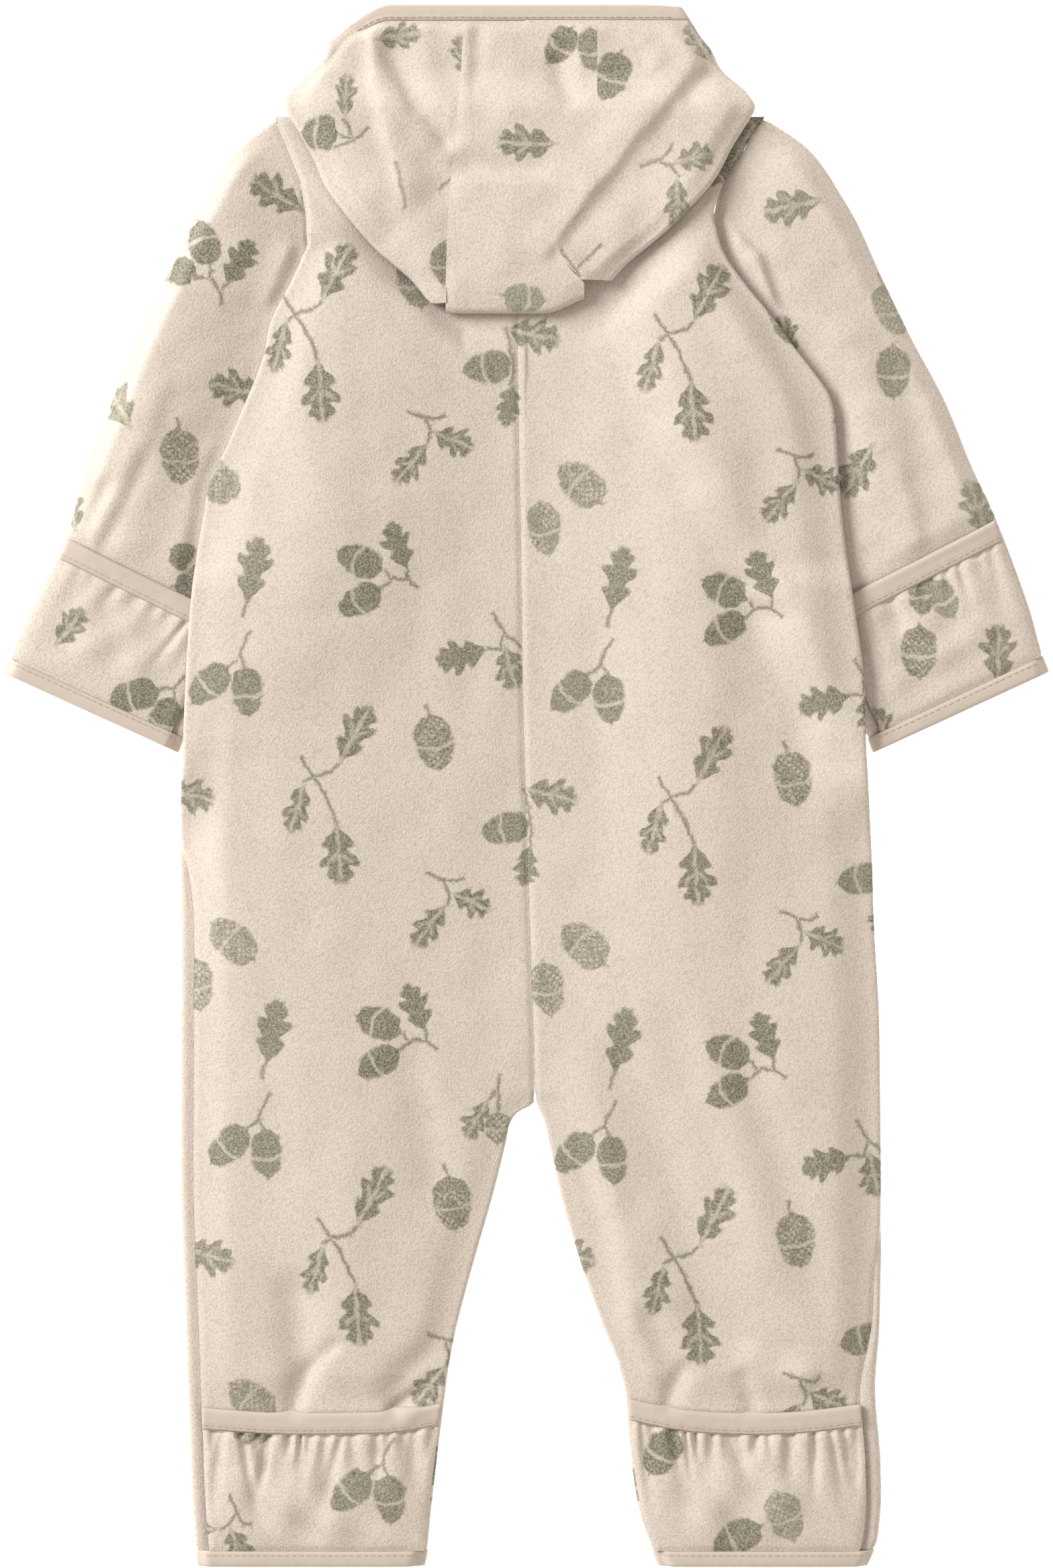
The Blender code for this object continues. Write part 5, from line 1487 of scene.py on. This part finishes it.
def foot_binding_grid(side):
    """Grid of the binding on a foot flap's free edge."""
    part = np.linspace(0, 1, 91)[None, :]
    across = np.linspace(0, 1, 11)[:, None]
    y = along(part, *SIDES[side]["flap"].values()) - FLAP_BINDING * across
    grid = body(side, foot_columns(side, y, part), y)
    return grid, free_edge(part, across, 0.12, 13, (1.9, 23))


def mitt_columns(side, way, part):
    """Distance round the sleeve's section at part of the way across a mitt flap."""
    return SLEEVE_ROLL * QUARTER - 0.6 + (sleeve_flats(side, way) - 3.0) * part


def mitt_flap_grid(side, count=10):
    """Grid of a mitt flap on the sleeve's end, and how far it stands off the sleeve."""
    part = np.linspace(0, 1, 10 * count + 1)[None, :]
    down = stretches((0, 0.08, 5), (0.08, 0.92, 34), (0.92, 1, 4))[:, None]
    way = (FLAP_TOP - FLAP_BINDING - SEAM) * (1 - down) + HEM * down
    way = np.broadcast_to(way, (down.size, part.size))
    c = mitt_columns(side, way, part)
    grid = sleeve(side, c, way)
    folds = (count, 12 if side == "left" else 14)
    raised = gathered(grid, part, down, folds, 1.3, 1.8, (0.8, 22, 41), 0.05)
    return grid, raised, sleeve_unrolled(side, c, way)


def mitt_binding_grid(side):
    """Grid of the binding on a mitt flap's free edge."""
    part = np.linspace(0, 1, 71)[None, :]
    across = np.linspace(0, 1, 11)[:, None]
    way = np.broadcast_to(FLAP_TOP - FLAP_BINDING * across, (11, 71))
    grid = sleeve(side, mitt_columns(side, way, part), way)
    return grid, free_edge(part, across, 0.10, 7, (1.7, 19))


def flap(name, grid, raised, places, motifs):
    """A flap folded over the end of a leg or a sleeve."""
    return wall(name, grid, core=-ENDLESS, outside=raised, print_at=places, motifs=motifs)


def flap_binding(name, grid, raised):
    """The binding on a flap's free edge."""
    return wall(name, grid, "binding", core=-ENDLESS, outside=raised, thick=raised - LAY,
                dip=(0.3, 0.7))


class PRAMSUIT_OT_flaps(bpy.types.Operator):
    """Foot flaps on the leg ends and mitt flaps on the sleeve ends, each gathered into
    the binding on its free edge, with the binding round each leg hem. A flap's height is
    that of the cloth under it, plus its thickness, a puff and its gathers."""
    bl_idname = "pramsuit.flaps"
    bl_label = "Flaps and hems"

    def execute(self, context):
        for side in SIDES:
            foot = flap("foot_flap_" + side, *foot_flap_grid(side), FOOT_PRINT[side])
            edge = flap_binding("foot_flap_binding_" + side, *foot_binding_grid(side))
            hem = round_binding("leg_hem_binding_" + side, *hem_grid(side))
            mitt = flap("mitt_flap_" + side, *mitt_flap_grid(side), MITT_PRINT[side])
            edge = flap_binding("mitt_flap_binding_" + side, *mitt_binding_grid(side))
        return {"FINISHED"}


def hood_to_zip(side, row):
    """Distance round a side panel from its fold, underneath, to the zip."""
    edge = hood_line(side, row)[1]
    zip_edge = CENTRE["across"][-1] - SIDES[side]["sign"] * (ZIP_HALF + SEAM / 2)
    return HOOD_ROLL * (QUARTER - 1) + np.abs(edge - zip_edge)


UNDER_CELLS = (26, 6)    # cells across a side panel's under layer


def hood_columns(side, y, cells=(*UNDER_CELLS, 5, 5, 54)):
    """Columns of a side panel: the under layer, the fold at its side, and the top."""
    quarter = HOOD_ROLL * QUARTER
    over = hood_over(side, y)
    under = np.where(y > NECK + 2, hood_to_zip(side, y), over)
    knots = [-under, -(quarter + (under - quarter) * 0.25), -quarter + 0 * y, 0 * y,
             quarter + 0 * y, over]
    return columns_between(knots, cells)


HOOD_ROWS = stretches((563, 567, 4), (567, NECK + 1, 52), (NECK + 1, NECK + 1 + SLIT, 1),
                      (NECK + 1 + SLIT, FACE - 4, 26), (FACE - 4, FACE, 5))


def hood_grid(side):
    """Grid of a side panel of the hood, from the lowest row that it has, the cells that
    it keeps beside its slit at the neck, and its places on the print."""
    y = HOOD_ROWS[HOOD_ROWS >= SIDES[side]["hood"]["height"][0]]
    c = hood_columns(side, y)
    rows = each_row(y, c)
    keep = np.ones((len(y) - 1, c.shape[1]), bool)
    keep[np.searchsorted(y, NECK + 1), :sum(UNDER_CELLS)] = False
    edge = hood_line(side, rows)[1]
    flat_x = edge + SIDES[side]["sign"] * (HOOD_ROLL + np.abs(c) - HOOD_ROLL * QUARTER)
    grid = hood_side(side, c, rows, lapped=side == "left")
    lap = hood_lap(grid[..., 0], c) * ease((rows - 680) / 8) * (side == "left")
    return grid, keep, np.stack([flat_x, grid[..., 1]], -1), 1.1 * lap


def strip_grid(cells=40):
    """Grid of the hood's centre strip, from the neck down the under layer, round the
    bottom fold and up the top layer to the face edge."""
    quarter = HOOD_ROLL * QUARTER
    part = np.concatenate([[0, 0.02, 0.045], np.linspace(0.07, 0.93, cells - 5),
                           [0.955, 0.98, 1]])[None, :]
    top = stretches((570, FACE - 4, 74), (FACE - 4, FACE, 5))[:, None]
    low = stretches((570, NECK - 2, 26), (NECK - 2, NECK + 1, 3))[:, None]
    ways = [sign * (quarter + y - HOOD_ROLL - hood_bottom(strip_across(y, part)))
            for sign, y in ((-1, low[::-1]), (1, top))]
    fold = np.linspace(-1, 1, 15)[:, None] * quarter + 0 * part
    way = np.concatenate([ways[0], fold, ways[1]])
    part = np.broadcast_to(part, way.shape)
    grid = hood_centre(part, way)
    flat_y = hood_bottom(grid[..., 0]) + np.abs(way)
    return grid, np.stack([grid[..., 0], flat_y], -1)


def hood_binding_grid():
    """Grid of the binding round the hood's face edge, from the zip round to the zip
    again, and how far it stands off the hood."""
    across = np.linspace(0, 1, 9)
    row = FACE + 2 * SEAM + across * (HEM - 2 * SEAM)
    over = {side: hood_over(side, row)[:, None] for side in SIDES}
    left = hood_columns("left", row, (20, 6, 5, 5, 44)) - over["left"]
    middle = np.linspace(0, STRIP, 41)[None, 1:] + 0 * over["left"]
    right = STRIP + over["right"] - hood_columns("right", row, (20, 6, 5, 5, 36))[:, -2::-1]
    a = np.concatenate([left, middle, right], axis=1)
    rows = each_row(row, a)
    on_top = ease((a - 1 + over["left"]) / 3) * ease((STRIP + over["right"] - 1 - a) / 3)
    return face_edge(a, rows), rounded(across, 0.7)[:, None] * on_top


class PRAMSUIT_OT_hood(bpy.types.Operator):
    """The hood, laid on the back: two side panels folded at their outer edges, the
    centre strip between them, and the binding round the face edge."""
    bl_idname = "pramsuit.hood"
    bl_label = "Hood"

    def execute(self, context):
        for side in SIDES:
            grid, keep, places, raised = hood_grid(side)
            dip = (hood_dip(grid[..., 0], grid[..., 1]), 2.1)
            obj = wall("hood_" + side, grid, keep=keep, dip=dip, outside=raised,
                       print_at=places, motifs=HOOD_PRINT[side])
        grid, places = strip_grid()
        obj = wall("hood_centre", grid, dip=(hood_dip(grid[..., 0], grid[..., 1]), 2.1),
                   print_at=places, motifs=HOOD_PRINT["centre"])
        grid, raised = hood_binding_grid()
        edge = wall("hood_binding", grid, "binding", outside=raised, thick=FLEECE + raised,
                    dip=(0.2, 0.8))
        return {"FINISHED"}


# --- small pieces: one shape, many places ---

def scatter(name, shape, faces, places, forward, upward, finish):
    """Copies of a small closed shape, joined in one mesh. A copy's own axes are
    forward, upward crossed with forward, and upward at its place."""
    forward = forward / np.linalg.norm(forward, axis=-1, keepdims=True)
    upward = upward - forward * np.sum(upward * forward, -1, keepdims=True)
    upward /= np.linalg.norm(upward, axis=-1, keepdims=True)
    sideways = np.cross(upward, forward)
    axes = np.stack([forward, sideways, upward], 1)
    points = places[:, None] + np.einsum("vk,nkc->nvc", shape, axes)
    count = np.arange(len(places))[:, None, None] * len(shape)
    obj, _ = add_mesh(name, points.reshape(-1, 3), (faces[None] + count).reshape(-1, 4), finish)
    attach(obj, "root")
    return obj


def tube_quads(rings, sides):
    """Quads round a closed tube, of so many rings with so many points each."""
    row, column = np.meshgrid(np.arange(rings - 1), np.arange(sides), indexing="ij")
    beyond = (column + 1) % sides
    return np.stack([row * sides + column, row * sides + beyond,
                     (row + 1) * sides + beyond, (row + 1) * sides + column], -1).reshape(-1, 4)


def bead(length, width, height, rings=5, sides=6):
    """A small closed bead: circles across its length whose radius is the square root of
    1 less the fourth power of the way from its middle, with a flat at each end."""
    u = np.linspace(-1, 1, rings)
    u[0], u[-1] = -0.98, 0.98
    radius = np.sqrt(1 - u ** 4)[:, None]
    turn = np.arange(sides)[None, :] * 2 * pi / sides
    points = np.stack(np.broadcast_arrays(
        u[:, None] * length / 2, radius * np.cos(turn) * width / 2,
        radius * np.sin(turn) * height / 2), -1).reshape(-1, 3)
    last = (rings - 1) * sides
    caps = [[0, 1, 2, 3], [0, 3, 4, 5]]
    caps = np.array(caps + [[last + k for k in cap[::-1]] for cap in caps])
    return points, np.concatenate([tube_quads(rings, sides), caps])


def path_steps(path, up, pitch, jitter=0.0, seed=0):
    """Places at an even pitch along a path, with its direction and its normals."""
    step = np.linalg.norm(np.diff(path, axis=0), axis=-1)
    far = np.concatenate([[0], np.cumsum(step)])
    count = max(int(far[-1] / pitch), 2)
    at = (np.arange(count) + 0.5) * far[-1] / count
    at = at + jitter * np.random.default_rng(seed).uniform(-1, 1, count)

    def read(line, spots):
        return np.stack([np.interp(spots, far, line[:, k]) for k in range(3)], -1)
    return read(path, at), read(path, at + 0.4) - read(path, at - 0.4), read(up, at)


def seam_row(grid, raised, row, closed=False, core=None, columns=slice(None)):
    """One row of a piece's face, and its normals, for topstitching to run along."""
    normal = grid_normals(grid, closed, middle_of(grid, core))
    face = grid + normal * np.broadcast_to(raised, grid.shape[:2])[..., None]
    return face[row, columns], normal[row, columns]


class PRAMSUIT_OT_stitching(bpy.types.Operator):
    """Topstitching along the bindings: beads of thread, each sunk by half into the cloth
    and a little out of line with the next."""
    bl_idname = "pramsuit.stitching"
    bl_label = "Topstitching"

    def execute(self, context):
        pitch = context.scene.pramsuit_cloth.stitch / MM
        lines = []
        for side in SIDES:
            # Along a row near each binding's inner edge, over the columns seen from above.
            lines.append(seam_row(*foot_binding_grid(side), 8, core=-ENDLESS))
            lines.append(seam_row(*mitt_binding_grid(side), 8, core=-ENDLESS))
            lines.append(seam_row(*hem_grid(side), 6, closed=True, columns=slice(5, 64)))
            lines.append(seam_row(*cuff_grid(side), 6, closed=True, columns=slice(5, 54)))
        lines.append(seam_row(*hood_binding_grid(), 1, columns=slice(44, 152)))
        shape, faces = bead(pitch * 0.78, 0.5, 0.5)
        found = [path_steps(path, up, pitch, 0.12, k) for k, (path, up) in enumerate(lines)]
        places, forward, upward = (np.concatenate(part) for part in zip(*found))
        scatter("topstitching", shape, faces, places + 0.05 * upward, forward, upward,
                material("thread"))
        return {"FINISHED"}


def block(size, edge, bend):
    """A block with rounded edges as a grid: rings of a superellipse whose size shrinks
    towards the two ends, as the power of the way up says."""
    turn = np.linspace(0, 2 * pi, 33)[:-1][None, :]
    up = np.linspace(-1, 1, 11)[:, None]
    shrink = (1 - np.abs(up) ** bend) ** (1 / bend) * (1 - edge) + edge
    shrink[[0, -1]] = edge * 0.9
    c, s = np.cos(turn), np.sin(turn)
    return np.stack(np.broadcast_arrays(
        shrink * np.sign(c) * np.abs(c) ** (2 / bend) * size[0] / 2,
        shrink * np.sign(s) * np.abs(s) ** (2 / bend) * size[1] / 2,
        up * size[2] / 2), -1)


def closed_block(name, grid, kind):
    """A block's grid as a closed mesh, its two ends filled with fans of quads."""
    rings, sides = grid.shape[:2]
    first = np.arange(0, sides // 2 - 1)
    cap = np.stack([first, first + 1, sides - 2 - first, sides - 1 - first], -1)
    last = (rings - 1) * sides
    faces = np.concatenate([tube_quads(rings, sides), cap[:, ::-1], cap + last])
    obj, _ = add_mesh(name + "_shape", grid.reshape(-1, 3), faces, material(kind))
    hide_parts(name)
    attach(obj, "root")
    return obj


TAPE_LOW, TEETH_LOW = 228.0, 232.0        # heights at which the tape and the teeth start
TAPE, TAPE_TOP = 1.3, 2.4                 # thickness of the tape, and its upper face
TOOTH_STEP, TOOTH_SLANT = 1.5, 0.12       # from one tooth to the next, and how they lean
TOOTH_HEIGHT = 0.95                       # height of the teeth's middles over the ground
TOOTH = (2.6, 0.95, 1.0)                  # length, width and height of a tooth
SLIDER = (7.4, 12.0, 2.8)                 # the same of the slider: across, along and up
PULL = (5.0, 28.0, 0.7)                   # and of the pull


def zip_teeth():
    """Places of the zip's teeth, in two rows half a step apart, and how they lean."""
    height = np.arange(TEETH_LOW, CHIN - 14, TOOTH_STEP)
    middle = along(height, *CENTRE.values())
    places, slants = [], []
    for k, hand in enumerate((-1, 1)):
        places.append(np.stack([middle + hand * TOOTH_STEP / 2, height + k * TOOTH_STEP / 2,
                                TOOTH_HEIGHT + 0 * height], -1))
        slants.append(np.stack([1 + 0 * height, hand * TOOTH_SLANT + 0 * height, 0 * height], -1))
    return np.concatenate(places), np.concatenate(slants)


class PRAMSUIT_OT_zip(bpy.types.Operator):
    """The front zip, underneath: its tape between the front panels, a coil of teeth down
    its middle, the slider at the chin and its short pull of tape."""
    bl_idname = "pramsuit.zip"
    bl_label = "Front zip"

    def execute(self, context):
        y = stretches((TAPE_LOW, CHIN - 13.5, 150))[:, None]
        across = np.linspace(-1, 1, 9)[None, :]
        x = along(y, *CENTRE.values()) + across * (zip_room(y) - SEAM / 2)
        grid = np.stack(np.broadcast_arrays(x, y, TAPE_TOP + 0 * x), -1)
        wall("front_zip", grid, "zip tape", thick=TAPE, dip=(0.2, 0.5), core=-ENDLESS)
        shape, faces = bead(*TOOTH)
        places, slants = zip_teeth()
        upward = np.array([[0.0, 0.0, 1.0]]) + 0 * places
        coil = scatter("zip_coil", shape, faces, places, slants, upward,
                       material("zip moulding"))
        middle = CENTRE["across"][-1]
        grid = block(SLIDER, 0.72, 5.0) + np.array([middle, CHIN - 7, 2.3])
        slider = closed_block("zip_slider", grid, "zip moulding")
        grid = block(PULL, 0.9, 8.0) + np.array([middle, CHIN - 22, 0.35])
        pull = closed_block("zip_pull", grid, "zip tape")
        return {"FINISHED"}


class PRAMSUIT_OT_stage(bpy.types.Operator):
    """White ground, a large soft light from the upper left, light from all round, and
    the camera straight above."""
    bl_idname = "pramsuit.stage"
    bl_label = "Ground, light and camera"

    def execute(self, context):
        scene = context.scene
        stage = scene.pramsuit_stage
        scene.cycles.max_bounces = 3    # pale cloth and a pale ground need no more
        scene.cycles.diffuse_bounces = 1
        half, under = 3.0, -0.0006      # the ground's half width, and how far it is below
        corners = [(x * half, y * half, under) for x, y in ((-1, -1), (1, -1), (1, 1), (-1, 1))]
        mesh = bpy.data.meshes.new("ground")
        mesh.from_pydata(corners, [], [(0, 1, 2, 3)])
        mesh.materials.append(material("ground"))
        floor = bpy.data.objects.new("ground", mesh)
        scene.collection.objects.link(floor)

        def lamp(name, power, size, place):
            light = bpy.data.lights.new(name, "AREA")
            light.energy, light.shape, light.size = power, "SQUARE", size
            obj = bpy.data.objects.new(name, light)
            obj.location = place
            aim = -np.array(place)
            obj.rotation_euler = (np.arctan2(np.hypot(aim[0], aim[1]), -aim[2]), 0,
                                  np.arctan2(-aim[0], aim[1]))
            scene.collection.objects.link(obj)
            return obj
        key = lamp("key light", stage.key, 2.1, (-3.0, 1.75, 2.1))
        fill = lamp("fill light", stage.key * 0.045, 1.6, (1.5, -0.7, 1.7))
        world = bpy.data.worlds.new("surrounding light")
        world.use_nodes = True
        sky = world.node_tree.nodes["Background"]
        sky.inputs["Color"].default_value = (1, 0.90, 0.78, 1)
        sky.inputs["Strength"].default_value = stage.sky
        scene.world = world
        lens = bpy.data.cameras.new("camera")
        lens.lens, lens.sensor_fit, lens.sensor_height = 100, "VERTICAL", 36
        camera = bpy.data.objects.new("camera", lens)
        camera.location = (0.0003, 0.00055, stage.camera_height)
        scene.collection.objects.link(camera)
        scene.camera = camera
        scene.view_settings.view_transform = "Standard"
        return {"FINISHED"}


class PRAMSUIT_PT_panel(bpy.types.Panel):
    """Lists the settings and the operators in the order in which they run."""
    bl_idname = "PRAMSUIT_PT_panel"
    bl_label = "Pramsuit"
    bl_space_type = "VIEW_3D"
    bl_region_type = "UI"
    bl_category = "Pramsuit"

    def draw(self, context):
        for group in GROUPS:
            settings = getattr(context.scene, group)
            for name in settings.__annotations__:
                self.layout.prop(settings, name)
        for operator in OPERATORS:
            self.layout.operator(operator.bl_idname)


GROUPS = {"pramsuit_cloth": PramsuitCloth, "pramsuit_print": PramsuitPrint,
          "pramsuit_colours": PramsuitColours, "pramsuit_stage": PramsuitStage}
OPERATORS = (PRAMSUIT_OT_backs, PRAMSUIT_OT_fronts, PRAMSUIT_OT_sleeves, PRAMSUIT_OT_flaps,
             PRAMSUIT_OT_hood, PRAMSUIT_OT_zip, PRAMSUIT_OT_stitching, PRAMSUIT_OT_stage)


def register():
    """Registers the settings, operators and panel."""
    for name, group in GROUPS.items():
        bpy.utils.register_class(group)
        setattr(bpy.types.Scene, name, bpy.props.PointerProperty(type=group))
    for each in (*OPERATORS, PRAMSUIT_PT_panel):
        bpy.utils.register_class(each)


def unregister():
    """Takes out what register() put in."""
    for each in (PRAMSUIT_PT_panel, *reversed(OPERATORS)):
        bpy.utils.unregister_class(each)
    for name, group in GROUPS.items():
        delattr(bpy.types.Scene, name)
        bpy.utils.unregister_class(group)


def main():
    """Builds everything."""
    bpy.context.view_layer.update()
    register()
    for operator in OPERATORS:
        group, name = operator.bl_idname.split(".")
        getattr(getattr(bpy.ops, group), name)()


if __name__ == "__main__":
    main()
